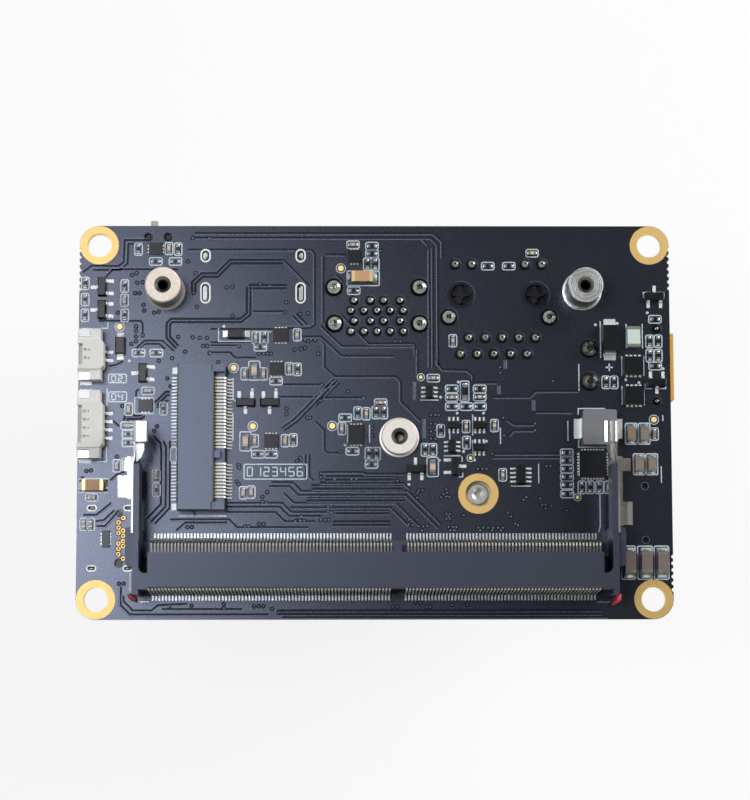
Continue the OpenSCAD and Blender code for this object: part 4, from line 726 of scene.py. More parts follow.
@dataclass
class Legend:
    """Print on the board: outlines round the parts, marks and plain numbers.

    Attributes:
        height: how far the ink stands over the mask.
        slope: how far its sides lean.
        line: width of an outline.
        heavy: width of a bar.
        corner: radius of an outline's corners.
        box_corner: radius of a drawn box's corners.
        dot: radii of a dot, at its top and at its foot.
        ring_room: how far a ring keeps off its test point.
        ring_line: width of the ring.
        small_max: length up to which a chip counts as small.
        small_room: room of a small chip's outline along the chip and across it.
        medium_max: length up to which a chip has an outline.
        medium_room: room of its outline.
        digit: share of a digit's cell that it fills.
        plus: arms of the plus mark.
        frames: digits, lower left corner, and width and height of a cell, of each frame.
    """

    height: float = 0.02
    slope: float = 0.01
    line: float = 0.18
    heavy: float = 0.24
    corner: float = 0.25
    box_corner: float = 0.15
    dot: Point = (0.19, 0.22)
    ring_room: float = 0.28
    ring_line: float = 0.13
    small_max: float = 0.8
    small_room: Point = (0.68, 0.35)
    medium_max: float = 1.1
    medium_room: Point = (1.0, 0.45)
    digit: float = 0.6
    plus: tuple[tuple[Point, Point], ...] = (((35.15, 8.2), (36.25, 8.2)), ((35.7, 7.65), (35.7, 8.75)))
    frames: tuple[tuple[str, Point, Point], ...] = (
        ("02", (-39.95, 6.1), (1.0, 0.8)),
        ("04", (-39.9, 3.25), (1.0, 0.9)),
        ("0123456", (-19.3, -8.35), (1.26, 1.3)),
    )
    dots: tuple[Point, ...] = (
        (-22.95, 14.5), (-15.9, 13.7), (-18.6, 4.8), (-15.0, 4.8), (10.0, 3.65), (12.7, 5.95),
        (12.5, 1.2), (16.5, 1.2), (33.65, 14.75), (37.0, 14.95), (41.6, 16.6), (38.2, 6.3), (40.2, 5.85),
        (43.9, 8.0), (-4.5, -3.65), (9.75, -6.0), (13.45, -4.65), (5.15, -9.65), (15.1, -5.95),
        (16.9, -3.1), (-37.3, 9.2), (-33.5, 8.1), (-14.8, -4.8),
    )
    lines: tuple[tuple[Point, ...], ...] = (
        ((34.05, -11.2), (34.05, -16.0), (33.8, -16.9)),
        ((24.8, -6.5), (24.8, -9.5)),
        ((19.05, -1.0), (19.05, -3.5)),
        ((29.3, 0.0), (29.3, -3.0)),
        ((43.4, -6.9), (43.4, -9.4)),
        ((43.75, 0.0), (43.75, 0.9)),
        ((31.05, 4.6), (31.05, 8.7)),
        ((34.4, 9.6), (34.4, 15.3)),
        ((38.35, 14.9), (38.35, 11.1)),
        ((40.8, 14.9), (40.8, 11.1)),
        ((37.6, 9.9), (37.6, 6.9)),
        ((40.95, 9.9), (40.95, 6.9)),
        ((37.6, 5.3), (37.6, 2.4)),
        ((40.95, 5.3), (40.95, 2.4)),
        ((30.9, -2.9), (30.9, -4.0), (35.0, -4.0)),
        ((30.9, 0.9), (30.9, 1.9), (35.0, 1.9)),
        ((20.6, -9.9), (23.6, -9.9)),
        ((-4.15, -0.6), (-4.15, -3.3)),
        ((-0.8, -0.6), (-0.8, -3.3)),
        ((-23.75, 14.2), (-23.75, 12.2), (-18.4, 12.2)),
        ((-40.6, 15.2), (-40.6, 14.2), (-41.6, 14.2)),
        ((-40.6, 4.9), (-40.6, 2.4)),
        ((-40.6, -4.0), (-40.6, -6.2), (-42.0, -6.2)),
        ((-21.5, 6.6), (-21.5, 3.4), (-21.1, 3.0)),
        ((-21.5, 1.2), (-21.5, -3.0)),
        ((-29.6, -14.4), (-22.4, -14.4)),
        ((-36.85, -23.0), (-36.85, -25.7)),
        ((11.35, -0.2), (11.35, -3.0)),
        ((14.85, 1.0), (14.85, -2.2)),
        ((14.85, -2.9), (14.85, -5.2)),
        ((10.4, -5.3), (13.0, -5.3)),
        ((6.9, 3.2), (9.7, 3.2)),
        ((13.2, -5.4), (13.2, -6.2)),
        ((12.7, -8.5), (13.3, -8.5), (13.3, -7.9)),
        ((41.05, 18.9), (41.05, 19.75), (42.15, 19.75)),
        ((43.15, 19.75), (44.2, 19.75), (44.2, 18.9)),
        ((41.15, 5.75), (41.15, 4.95), (42.2, 4.95)),
        ((43.3, 4.95), (44.25, 4.95), (44.25, 5.75)),
    )
    boxes: tuple[tuple[Point, Point], ...] = (
        ((-39.05, 6.5), (2.7, 1.3)),
        ((-39.0, 3.7), (2.7, 1.5)),
        ((-15.05, -7.7), (9.5, 2.25)),
        ((-1.75, 21.9), (4.9, 2.25)),
        ((38.25, -21.5), (2.1, 5.0)),
        ((40.75, -21.5), (2.2, 5.0)),
        ((43.25, -21.5), (2.2, 5.0)),
        ((38.9, -1.95), (1.75, 3.2)),
        ((40.9, -1.95), (1.75, 3.2)),
        ((40.05, -6.6), (1.75, 3.2)),
        ((42.0, -6.6), (1.75, 3.2)),
        ((-42.5, -9.8), (4.4, 2.1)),
        ((-34.95, 2.35), (2.9, 2.5)),
        ((13.65, 4.55), (1.3, 3.1)),
        ((-30.5, -5.1), (0.9, 2.1)),
    )

    def stroke(self, draft: Draft, path: Sequence[Point], width: float, closed: bool = False) -> None:
        """Prints one line.

        Args:
            draft: piece that it becomes part of.
            path: its corners.
            width: its width.
            closed: whether it ends where it starts.
        """
        half, top = width / 2, self.height
        flat = half - self.slope
        draft.band(path, [(-half, 0.0), (-flat, top), (flat, top), (half, 0.0)], closed)

    def numbers(self, draft: Draft, text: str, low: Point, cell: Point) -> None:
        """Prints plain digits drawn with straight strokes.

        Args:
            draft: piece that they become part of.
            text: the digits.
            low: lower left corner of the first one.
            cell: width and height of one digit, with its gap.
        """
        # Ends of each stroke of a digit, in cells across and half cells up, and the strokes of 0 to 9
        corners = {
            "a": ((0, 2), (1, 2)), "b": ((1, 1), (1, 2)), "c": ((1, 0), (1, 1)), "d": ((0, 0), (1, 0)),
            "e": ((0, 0), (0, 1)), "f": ((0, 1), (0, 2)), "g": ((0, 1), (1, 1)),
        }
        shapes = ("abcdef", "bc", "abged", "abgcd", "fgbc", "afgcd", "afgedc", "abc", "abcdefg", "abcdfg")
        for k, digit in enumerate(text):
            for name in shapes[int(digit)]:
                path = []
                for u, v in corners[name]:
                    path.append((low[0] + cell[0] * (k + u * self.digit), low[1] + v * cell[1] / 2))
                self.stroke(draft, path, self.line)

    def outlines(self, draft: Draft, parts: Iterable[Island], margin: Point) -> None:
        """Prints a round-cornered outline about each chip.

        Args:
            draft: piece that they become part of.
            parts: boxes of the chips' bodies.
            margin: room beyond the body along its length and across it.
        """
        for part in parts:
            size = part.size
            lies = size.x > size.y
            room = margin if lies else margin[::-1]
            outer = (size.x + 2 * room[0], size.y + 2 * room[1])
            self.stroke(draft, rounded(part.middle.xy, outer, self.corner), self.line, closed=True)

    def build(self) -> None:
        """Prints everything in one pass."""
        ink = Draft("legend_print")
        capacitors = islands("small_capacitors")
        small = [p for p in islands("chip_resistors") + capacitors if max(p.size.xy) < self.small_max]
        self.outlines(ink, small, self.small_room)
        medium = [p for p in capacitors if self.small_max < max(p.size.xy) < self.medium_max]
        self.outlines(ink, medium, self.medium_room)
        for centre, size in self.boxes:
            self.stroke(ink, rounded(centre, size, self.box_corner, 2), self.line, closed=True)
        for path in self.lines:
            self.stroke(ink, path, self.line)
        top, foot = self.dot
        for spot in self.dots:
            ink.turned(spot, [(foot, 0.0), (top, self.height), (POINT_MM, self.height)], steps=12)
        for point in islands("test_points"):
            ring = point.size.x / 2 + self.ring_room
            self.stroke(ink, circle(point.middle.xy, ring), self.ring_line, closed=True)
        for arm in self.plus:
            self.stroke(ink, arm, self.heavy)
        for text, low, cell in self.frames:
            self.numbers(ink, text, low, cell)
        ink.make(LEGEND_INK, "solder_mask")


@dataclass
class Copper:
    """Copper under the solder mask: gaps between the fields, painted highlights along the edges, and vias
    with painted highlights on their caps.

    Attributes:
        gap: width of a gap beside a track.
        floor: height at which the dull mask of a gap is drawn, just over the mask proper.
        edge: width of the painted highlight along an edge, and how far it slopes off beyond that.
        lip: how far the edge stands up.
        lean: how far the near side of the edge leans.
        wide: half width of a wide gap.
        wide_edge: the same as edge, beside a wide gap.
        middle: half widths of the painted highlight along the middle of a wide gap, at its top and at its
            foot.
        bar: half widths of a painted highlight bar, at its top and at its foot.
        via: radii of a via's pale cap, a painted highlight, at its top and at its foot.
        well: inner and outer radius of the ring round it.
        clearance: how far the copper keeps off a joint.
        rim: how far from the joint the dull ring starts.
        lit_deg: direction of the painted highlight arc round a joint.
        sweep_deg: how far that arc runs.
        arc: offsets of its inner foot, and of its top and its foot outside.
        arc_steps: straight stretches that it is drawn with.
        small: width below which a gold land has such a clearance too.
        holes: holes that the copper keeps off too: place, radius, room, and sweep of the arc.
    """

    gap: float = 0.3
    floor: float = 0.006
    edge: Point = (0.14, 0.06)
    lip: float = 0.03
    lean: float = 0.02
    wide: float = 0.45
    wide_edge: Point = (0.12, 0.03)
    middle: Point = (0.05, 0.07)
    bar: Point = (0.2, 0.25)
    via: Point = (0.12, 0.16)
    well: Point = (0.15, 0.36)
    clearance: float = 0.13
    rim: float = 0.02
    lit_deg: float = 40.0
    sweep_deg: float = 130.0
    arc: Point3 = (-0.03, 0.05, 0.07)
    arc_steps: int = 16
    small: float = 1.2
    holes: tuple[tuple[Point, float, float, float], ...] = (
        ((13.17, 19.35), 1.6, 0.5, 150),
        ((24.6, 19.35), 1.6, 0.5, 150),
        ((40.9, -9.9), 0.4, 0.15, 360),
        ((40.9, -18.05), 0.4, 0.15, 360),
        ((-38.6, -14.0), 0.46, 0.1, 90),
        ((-38.6, -21.5), 0.61, 0.1, 90),
        ((-34.55, 28.3), 0.61, 0.1, 90),
        ((-31.55, 28.3), 0.61, 0.1, 90),
    )
    tracks: tuple[tuple[Point, ...], ...] = (
        ((-35.0, 27.8), (-38.2, 27.8), (-38.3, 24.4), (-39.1, 23.8), (-43.2, 23.85), (-44.5, 22.8)),
        ((-35.2, 27.2), (-37.6, 27.2), (-37.7, 24.2), (-38.8, 23.2), (-43.0, 23.2)),
        ((-30.0, 23.3), (-39.9, 23.3), (-41.0, 22.1)),
        ((-27.5, 28.9), (9.0, 28.9), (10.4, 27.6), (10.4, 24.9)),
        ((-27.5, 28.2), (8.6, 28.2), (9.7, 27.1), (9.7, 8.4)),
        ((-28.5, 26.35), (-9.7, 26.35), (-9.1, 25.7), (-9.1, 14.8), (-9.7, 14.25), (-14.6, 14.25)),
        ((-13.9, 24.8), (-10.0, 20.8)),
        ((-7.8, 25.4), (-7.8, 15.0)),
        ((-7.5, 25.6), (-4.3, 25.6)),
        ((8.4, 26.4), (8.4, 8.2)),
        ((8.95, 26.6), (8.95, 8.2)),
        ((-42.0, 15.35), (-35.6, 15.35), (-35.3, 14.9), (-35.3, 13.1)),
        ((-36.4, 11.0), (-35.0, 12.3), (-32.3, 12.3), (-30.5, 10.7)),
        ((-36.0, 11.0), (-34.9, 11.8), (-32.7, 11.8), (-31.9, 11.0)),
        ((-18.6, 16.8), (-14.0, 16.8)),
        ((-25.0, 14.1), (-15.5, 14.1)),
        ((-25.0, 12.05), (-18.9, 12.05)),
        ((-25.0, 11.6), (-20.8, 11.6)),
        ((-25.0, 10.5), (-22.0, 10.5), (-21.2, 9.7), (-18.0, 9.7)),
        ((-12.5, 16.2), (-10.8, 14.4)),
        ((-12.0, 16.5), (-10.3, 14.8)),
        ((-11.0, 12.95), (-8.2, 12.95), (-5.0, 10.0), (3.0, 10.0)),
        (
            (-8.2, 12.4), (-7.6, 11.8), (-7.6, 8.2), (-6.0, 6.85), (3.2, 6.85), (4.0, 6.0), (4.0, 3.0),
            (7.0, 0.0),
        ),
        ((-8.2, 14.6), (-5.0, 11.5), (6.0, 11.5)),
        ((-1.0, 11.9), (5.9, 11.9), (6.2, 11.6), (6.2, 10.0)),
        ((6.6, 10.9), (6.6, 7.2)),
        ((9.4, 9.2), (10.3, 7.9), (14.0, 7.8), (15.0, 7.0), (15.0, 6.2)),
        ((-5.7, 6.2), (-11.7, 0.0), (-13.8, -1.5)),
        ((-6.1, 6.5), (-12.1, 0.4), (-14.1, -1.1)),
        ((-5.3, 5.9), (-8.9, 2.2), (-8.0, 3.6), (-1.5, 3.6)),
        ((-14.5, 3.7), (-9.0, 3.7), (-8.0, 5.0), (-6.2, 5.6)),
        ((-14.0, 5.6), (-8.0, 5.6)),
        ((15.0, 5.9), (18.6, 5.9)),
        ((18.0, 3.7), (23.5, 3.7), (24.4, 4.6), (31.0, 4.6)),
        ((24.5, 1.4), (30.0, 1.4)),
        ((-9.0, 0.0), (-7.6, -1.4), (-7.6, -4.4), (-7.2, -4.8), (-5.5, -4.8)),
        ((-10.5, -5.0), (-10.5, -8.8)),
        ((-9.9, -5.0), (-9.9, -8.4), (-9.3, -9.0)),
        ((-8.0, -7.75), (-1.7, -7.75), (-1.4, -8.0), (5.0, -8.0)),
        ((20.2, 0.2), (21.2, -0.5), (24.2, -0.5)),
        ((20.2, -2.3), (21.0, -1.4), (24.2, -1.4)),
        ((18.2, -5.0), (30.0, -4.95)),
        ((17.9, -5.5), (28.0, -5.5)),
        ((-44.0, -14.2), (-42.0, -14.2), (-39.8, -12.4)),
        ((-42.0, -15.9), (-40.7, -15.9), (-39.0, -14.0)),
        ((-38.2, -25.0), (-38.2, -27.8), (-36.8, -29.2), (-16.0, -29.2)),
        ((-14.0, -29.62), (35.0, -29.62)),
        ((-32.0, -28.4), (-20.0, -28.4)),
        ((-32.0, -3.0), (-31.6, -4.0), (-31.6, -13.0), (-33.8, -15.3)),
        ((-31.0, -3.0), (-31.0, -13.2), (-33.2, -15.6)),
        ((-30.9, -14.9), (-22.0, -14.9), (-20.8, -16.1), (-10.0, -16.1)),
        ((-30.0, -16.6), (-28.6, -15.4), (-22.3, -15.4)),
        ((-22.4, -12.4), (-14.0, -12.4), (-12.6, -13.8), (-6.4, -13.8)),
        ((-22.4, -13.0), (-14.4, -13.0), (-13.0, -14.4), (-8.0, -14.4)),
        ((-22.4, -13.8), (-15.0, -13.8), (-13.6, -15.2), (-9.0, -15.2)),
        ((-16.0, -9.9), (-12.9, -9.9), (-11.6, -11.2), (4.6, -11.2), (9.6, -16.2)),
        ((-15.6, -9.3), (-12.4, -9.3), (-11.1, -10.6), (5.0, -10.6), (10.0, -15.6)),
        ((-13.8, -10.9), (-12.2, -12.4), (3.2, -12.4), (6.8, -16.0)),
        ((-12.8, -13.1), (2.4, -13.1), (5.2, -15.9)),
        ((-8.4, -9.4), (4.4, -9.4), (5.4, -10.4)),
        ((-36.2, 3.4), (-36.2, 4.5), (-35.8, 4.9)),
        ((-33.1, 2.0), (-31.9, 3.0), (-31.2, 3.2)),
        ((-42.2, -15.2), (-40.9, -15.0), (-39.3, -13.5)),
        ((-37.8, -26.4), (-37.8, -27.2), (-36.4, -28.6), (-33.6, -28.6), (-32.6, -27.8), (-28.2, -27.6)),
        ((-27.4, -13.6), (-27.0, -14.4)),
        ((-39.7, 0.1), (-38.7, -0.8)),
        ((-33.4, -2.4), (-32.5, -3.3), (-32.3, -4.5), (-32.3, -12.6), (-34.4, -14.8)),
        ((-40.0, -9.0), (-39.0, -8.1), (-37.8, -7.7)),
        ((-40.4, 8.4), (-39.2, 8.6), (-38.2, 9.2)),
        ((-4.9, 16.2), (-0.8, 11.8)),
        ((-5.8, 22.5), (-4.8, 21.4)),
        ((7.3, 28.0), (8.2, 27.1)),
    )
    wide_gaps: tuple[tuple[Point, ...], ...] = (
        ((-14.0, 24.5), (-22.0, 24.5), (-24.0, 22.4), (-26.3, 22.4), (-27.6, 21.2), (-27.6, 19.8)),
        (
            (-30.0, 11.3), (-31.4, 12.8), (-31.4, 14.9), (-30.9, 15.4), (-20.4, 15.4), (-19.2, 16.4),
            (-19.2, 20.6),
        ),
        ((-19.2, 20.6), (-13.4, 20.6)),
        ((-6.4, -15.5), (2.3, -15.5)),
        ((-33.2, 2.6), (-31.6, 4.2), (-31.1, 4.2)),
        ((-14.8, -28.9), (34.0, -28.9)),
        ((-7.4, -8.65), (2.9, -8.65)),
        ((-9.6, -10.0), (4.3, -10.0)),
        ((-10.4, -11.8), (4.6, -11.8)),
        ((-6.0, -13.75), (2.2, -13.75)),
        ((-37.8, 0.0), (-37.6, 0.6), (-35.5, 0.6), (-35.0, 1.0)),
    )
    bars: tuple[tuple[Point, ...], ...] = (
        ((18.85, 4.1), (18.85, 5.4)),
        ((19.85, 8.0), (19.85, 9.3)),
        ((24.1, 1.6), (24.1, 3.2)),
        ((7.45, 0.3), (7.45, -2.6)),
        ((6.0, 6.0), (6.0, 3.2)),
    )
    vias: tuple[Point, ...] = (
        (-37.0, 22.4), (-36.3, 22.7), (-36.2, 21.2), (-35.4, 21.3), (-28.5, 24.5), (-27.3, 22.7),
        (-27.8, 28.1), (-25.25, 28.1), (-21.7, 20.6), (-22.6, 20.5), (-17.5, 21.0), (-16.0, 20.7),
        (0.9, 26.2), (-36.5, 19.6), (-35.8, 19.6), (-35.2, 17.8), (-35.1, 16.9), (-33.6, 16.6),
        (-32.9, 16.7), (-39.1, 16.6), (-35.3, 13.1), (-37.0, 11.8), (-36.3, 14.5), (-36.3, 13.8),
        (-36.3, 12.95), (-36.3, 12.2), (-27.6, 19.6), (-27.1, 17.5), (-21.7, 16.1), (-29.9, 12.9),
        (-27.7, 12.8), (-26.6, 12.7), (-25.5, 12.7), (-26.1, 11.5), (-25.5, 11.5), (-20.7, 11.5),
        (-25.1, 10.4), (-28.8, 10.6), (-17.6, 10.3), (-16.9, 10.3), (-16.3, 10.3), (-15.8, 10.3),
        (-13.5, 18.2), (-13.7, 16.7), (-11.3, 16.4), (-10.15, 16.5), (-10.6, 12.4), (-10.1, 12.2),
        (-9.7, 12.5), (-9.1, 12.4), (-11.2, 11.0), (-10.6, 11.2), (-12.2, 10.9), (-8.6, 10.3),
        (3.1, 12.2), (3.9, 12.2), (-38.3, 2.3), (-31.5, 6.5), (-31.0, 5.3), (-32.8, 9.2), (-30.8, 9.6),
        (-23.8, 9.0), (-8.0, 5.6), (-6.5, 5.9), (-4.05, 4.5), (-1.7, 3.6), (-13.4, 1.9), (-13.4, 1.1),
        (-8.3, 3.1), (-10.2, 0.5), (-9.8, 0.5), (19.1, 8.2), (19.1, 7.4), (19.5, 0.5), (27.1, 6.1),
        (8.5, 0.9), (9.2, 0.9), (9.7, 0.9), (-39.0, -5.4), (-43.6, -7.6), (-42.9, -7.5), (-44.2, -8.7),
        (-33.4, -1.5), (-33.0, -0.8), (-20.6, -6.7), (-20.5, -7.1), (-20.9, -9.2), (-20.6, -9.6),
        (-11.3, -5.6), (-11.1, -5.9), (-11.8, -6.1), (-6.1, -8.9), (-3.55, -8.85), (-2.8, -8.85),
        (-8.2, -8.0), (-8.2, -8.6), (-7.8, -9.0), (-5.2, -4.65), (-0.4, -1.1), (-0.4, -2.2), (-1.0, -2.2),
        (8.5, -0.4), (9.2, -0.4), (8.5, -1.6), (9.2, -1.4), (8.5, -2.7), (9.2, -2.7), (19.6, -2.2),
        (24.3, -0.4), (24.3, -1.4), (17.8, -5.0), (26.0, -6.9), (26.6, -6.9), (16.3, -7.3), (15.6, -7.3),
        (16.9, -7.3), (3.4, -8.3), (3.4, -9.1), (-28.3, -16.1), (-27.6, -16.1), (-17.0, -11.5),
        (-16.3, -10.8), (-17.0, -12.3), (-16.4, -12.4), (-19.6, -16.0), (-19.1, -16.0), (-17.5, -15.6),
        (-16.8, -15.6), (-7.1, -13.0), (-7.1, -13.75), (-6.6, -12.85), (-6.6, -13.85), (-11.6, -14.65),
        (-11.1, -14.5), (-12.0, -15.2), (-11.3, -15.1), (-10.7, -15.1), (-7.5, -15.0), (-7.0, -15.0),
        (-8.2, -15.0), (6.6, -10.6), (6.4, -11.0), (6.4, -11.65), (7.2, -10.5), (10.8, -10.4),
        (10.9, -10.9), (10.4, -11.1), (10.0, -11.6), (10.8, -11.5), (11.3, -11.55), (10.8, -14.1),
        (11.3, -14.1), (11.1, -14.5), (10.8, -14.85), (11.3, -14.85), (6.4, -15.0), (5.7, -15.8),
        (5.1, -15.0), (5.1, -15.7), (6.6, -16.0), (7.3, -16.0), (7.9, -15.95), (7.1, -16.6),
        (11.4, -16.6), (12.0, -16.6), (11.1, -16.1), (11.8, -16.1), (12.3, -16.1), (13.4, -14.3),
        (22.9, -11.6), (22.5, -12.0), (25.0, -11.8), (25.3, -12.75), (25.8, -12.7), (25.8, -13.3),
        (26.7, -12.9), (29.0, -13.6), (20.1, -13.9), (20.55, -14.5), (21.2, -15.6), (21.6, -15.85),
        (15.9, -16.6), (17.7, -16.6), (19.0, -16.6), (-38.5, -24.6), (-37.8, -24.6), (-30.8, -27.9),
        (-27.6, -27.9), (-22.75, -27.7), (-22.75, -28.3), (-18.2, -28.0), (-17.5, -28.0), (-16.8, -28.0),
        (-15.5, -28.4), (2.65, -28.1), (3.35, -28.1), (7.8, -28.1), (8.3, -28.1), (6.1, -27.4),
        (6.8, -27.5), (11.6, -27.8), (13.9, -27.8), *((15.6 + 0.75 * k, -16.2) for k in range(6)),
    )

    def ridge(self, start: float, size: Point) -> list[Point]:
        """Draws the profile of a painted highlight along an edge.

        Args:
            start: offset at which it rises.
            size: its width, and how far it slopes off beyond that.

        Returns:
            Offset and height of each line of the edge.
        """
        end = start + size[0]
        return [(start, 0.0), (start + self.lean, self.lip), (end, self.lip), (end + size[1], 0.0)]

    def crest(self, halves: Point, level: float) -> list[Point]:
        """Draws the profile of a painted highlight line.

        Args:
            halves: its half widths, at its top and at its foot.
            level: height of its foot.

        Returns:
            Offset and height of each line of the crest.
        """
        top, foot = halves
        return [(-foot, level), (-top, self.lip), (top, self.lip), (foot, level)]

    def build(self, board_t: float) -> None:
        """Builds the gaps, the painted highlights along the edges and the vias on both faces.

        Args:
            board_t: thickness of the board.
        """
        gaps = Draft("copper_gaps")
        edges = Draft("copper_edge_highlights")
        half, lip, floor = self.gap / 2, self.lip, self.floor
        # The light edge on one side of each track, the middle lines of wide gaps and the bars are painted
        # highlights
        for path in self.tracks:
            gaps.band(path, [(-half, floor), (half, floor)])
            edges.band(path, self.ridge(half, self.edge))
        for path in self.wide_gaps:
            gaps.band(path, [(-self.wide, floor), (self.wide, floor)])
            edges.band(path, self.crest(self.middle, floor))
            edges.band(path, self.ridge(self.wide, self.wide_edge))
        for path in self.bars:
            edges.band(path, self.crest(self.bar, 0.0))
        gaps.make(MASK_IN_GAP, "solder_mask")
        edges.make(EDGE_PAINTED_HIGHLIGHT, "solder_mask")
        top, foot = self.via
        inner, outer = self.well
        for face in ("upper", "lower"):
            rims = Draft(f"via_highlight_caps_{face}")
            wells = Draft(f"via_wells_{face}")
            for spot in self.vias:
                # The pale cap of each via is a painted highlight
                rims.turned(spot, [(foot, 0.0), (top, lip), (POINT_MM, lip)], steps=10)
                wells.turned(spot, [(outer, floor - 0.001), (inner, floor + 0.001)], steps=14)
            if face == "lower":
                rims.turned_over(board_t)
                wells.turned_over(board_t)
            rims.make(VIA_PAINTED_HIGHLIGHT, "solder_mask")
            wells.make(MASK_IN_GAP, "solder_mask")
        self.clearances()

    def clearances(self) -> None:
        """Cuts the copper back round every joint and locating hole, with a painted highlight arc on one
        side.
        """
        rings = Draft("joint_clearances")
        arcs = Draft("joint_clearance_highlights")
        level = self.floor + 0.001
        inside, top, foot = self.arc
        joints = islands("solder_joints")
        joints += [land for land in islands("plated_lands") if land.size.x < self.small]
        places = [((*j.middle.xy,), j.size.x / 2, self.clearance, self.sweep_deg) for j in joints]
        for middle, radius, room, sweep in [*places, *self.holes]:
            inner, outer = radius + self.rim, radius + room
            rings.turned(middle, [(inner, level), (outer, level)], steps=28)
            shares = [k / self.arc_steps - 0.5 for k in range(self.arc_steps + 1)]
            turns = [math.radians(self.lit_deg + sweep * share) for share in shares]
            path = [(middle[0] + outer * math.cos(t), middle[1] + outer * math.sin(t)) for t in turns]
            arcs.band(path, [(foot, 0.0), (top, self.lip), (0.0, self.lip), (inside, level)])
        rings.make(MASK_IN_GAP, "solder_mask")
        arcs.make(EDGE_PAINTED_HIGHLIGHT, "solder_mask")


@dataclass
class SolderWork:
    """Solder at the small parts: a sloped fillet at each end of a chip and a wetted pad under each leg.

    Attributes:
        pad: thickness of the solder on a pad.
        pad_lean: how far its upper edges stand in.
        margin: how far a pad shows round a leg.
        reach: how far a fillet runs out from the narrowest chip.
        growth: how fast that grows with the square of the chip's half width.
        broad: half width from which the pads end under the caps.
        broad_reach: how far a fillet runs out there.
        rise: share of an end cap's height that the solder climbs.
        slope: share of the reach, share of the rise and spread to each side, of a fillet's upper lines.
        capped: nodes whose solids have end caps.
        bars: opposite corners of the bars of solder behind the module socket.
        bar_high: height of these bars.
        bar_lean: how far their upper edges stand in.
        legged: nodes whose legs stand on pads.
        land: width of the land that stays bright round a slot.
        ring: half width of the dark ring inside it, painted shade.
        ring_rise: how far that ring lies over the land.
    """

    pad: float = 0.05
    pad_lean: float = 0.03
    margin: float = 0.07
    reach: float = 0.24
    growth: float = 2.6
    broad: float = 0.95
    broad_reach: float = 0.12
    rise: float = 0.7
    slope: tuple[Point3, ...] = ((0.0, 1.0, 0.0), (0.25, 0.45, 0.02), (0.6, 0.2, 0.05))
    capped: tuple[str, ...] = ("chip_resistors", "small_capacitors", "bulk_capacitors", "surge_fuse")
    bars: tuple[tuple[Point, Point], ...] = (
        ((33.4, -27.55), (35.5, -27.25)),
        ((-35.5, -27.45), (-33.9, -27.2)),
    )
    bar_high: float = 0.14
    bar_lean: float = 0.08
    legged: tuple[str, ...] = (
        "chip_leads", "leadless_chip_pads", "diode_terminals", "inductor_terminals", "fan_header_pins",
        "clock_header_pins",
    )
    land: float = 0.36
    ring: float = 0.1
    ring_rise: float = 0.004

    def fillets(self) -> Draft:
        """Builds the fillets at both ends of every chip.

        Returns:
            The draft of the fillets.
        """
        draft = Draft("chip_fillets")
        caps = islands("chip_end_caps")
        for body in (body for node in self.capped for body in islands(node)):
            near = sorted(caps, key=lambda cap: (cap.middle - body.middle).length)[:2]
            for cap in near:
                self.fillet(draft, cap, (cap.middle - body.middle).xy.normalized())
        return draft

    def fillet(self, draft: Draft, cap: Island, way: Vector) -> None:
        """Builds one fillet against an end cap.

        Args:
            draft: piece that it becomes part of.
            cap: the chip's end cap.
            way: direction out of the chip.
        """
        side = Vector((-way.y, way.x))
        out = abs(cap.size.x * way.x + cap.size.y * way.y) / 2
        half = abs(cap.size.x * side.x + cap.size.y * side.y) / 2
        face = cap.middle.xy + way * out
        reach = self.reach * (1 + half * half * self.growth) if half < self.broad else self.broad_reach
        high = cap.size.z * self.rise
        lines = [(along, high * share, spread) for along, share, spread in self.slope]
        # On the pad the solder is level, and falls off at its edge
        lines += [(0.92, self.pad, 0.06), (1.0, 0.0, 0.08)]
        points = []
        for along, height, spread in lines:
            for s in (-1, 1):
                spot = face + way * reach * along + side * s * (half + spread)
                points.append((spot.x, spot.y, height))
        for s in (-1, 1):
            spot = face + side * s * half
            points.append((spot.x, spot.y, 0.0))
        steps = [(2 * k, 2 * k + 1, 2 * k + 3, 2 * k + 2) for k in range(len(lines) - 1)]
        draft.add(points, [*steps, (10, 0, 2, 4, 6, 8), (11, 9, 7, 5, 3, 1)])

    def pads(self) -> Draft:
        """Builds the pads under the legs of the chips and under the headers' pins.

        Returns:
            The draft of the pads.
        """
        draft = Draft("leg_pads")
        m = self.margin
        for low, high in self.bars:
            draft.block((*low, 0.0), (*high, self.bar_high), self.bar_lean)
        for node in self.legged:
            for (x0, y0, z0), (x1, y1, _) in ((leg.low, leg.high) for leg in islands(node)):
                if z0 < TOUCH_MM:
                    draft.block((x0 - m, y0 - m, 0.0), (x1 + m, y1 + m, self.pad), self.pad_lean)
        return draft

    def slot_shade_rings(self) -> Draft:
        """Builds the painted shade between each slot's land and the tab that stands in it: a dark ring.

        Returns:
            The draft of the rings.
        """
        draft = Draft("slot_shade_rings")
        for land in islands("slot_lands"):
            middle, size = land.middle.xy, land.size
            inner = (size.x - 2 * self.land, size.y - 2 * self.land)
            # A hair under half the width, so that no two corners meet in one point
            path = rounded(tuple(middle), inner, min(inner) / 2 - 0.01, 6)
            level = land.high[2] + self.ring_rise
            draft.band(path, [(-self.ring, level), (self.ring, level)], closed=True)
        return draft

    def build(self) -> None:
        """Makes the fillets, the pads and the painted shade rings in the slots."""
        self.fillets().make(SOLDER, "solder", smooth=True)
        self.pads().make(SOLDER, "solder")
        self.slot_shade_rings().make(SLOT_PAINTED_SHADE, "solder")


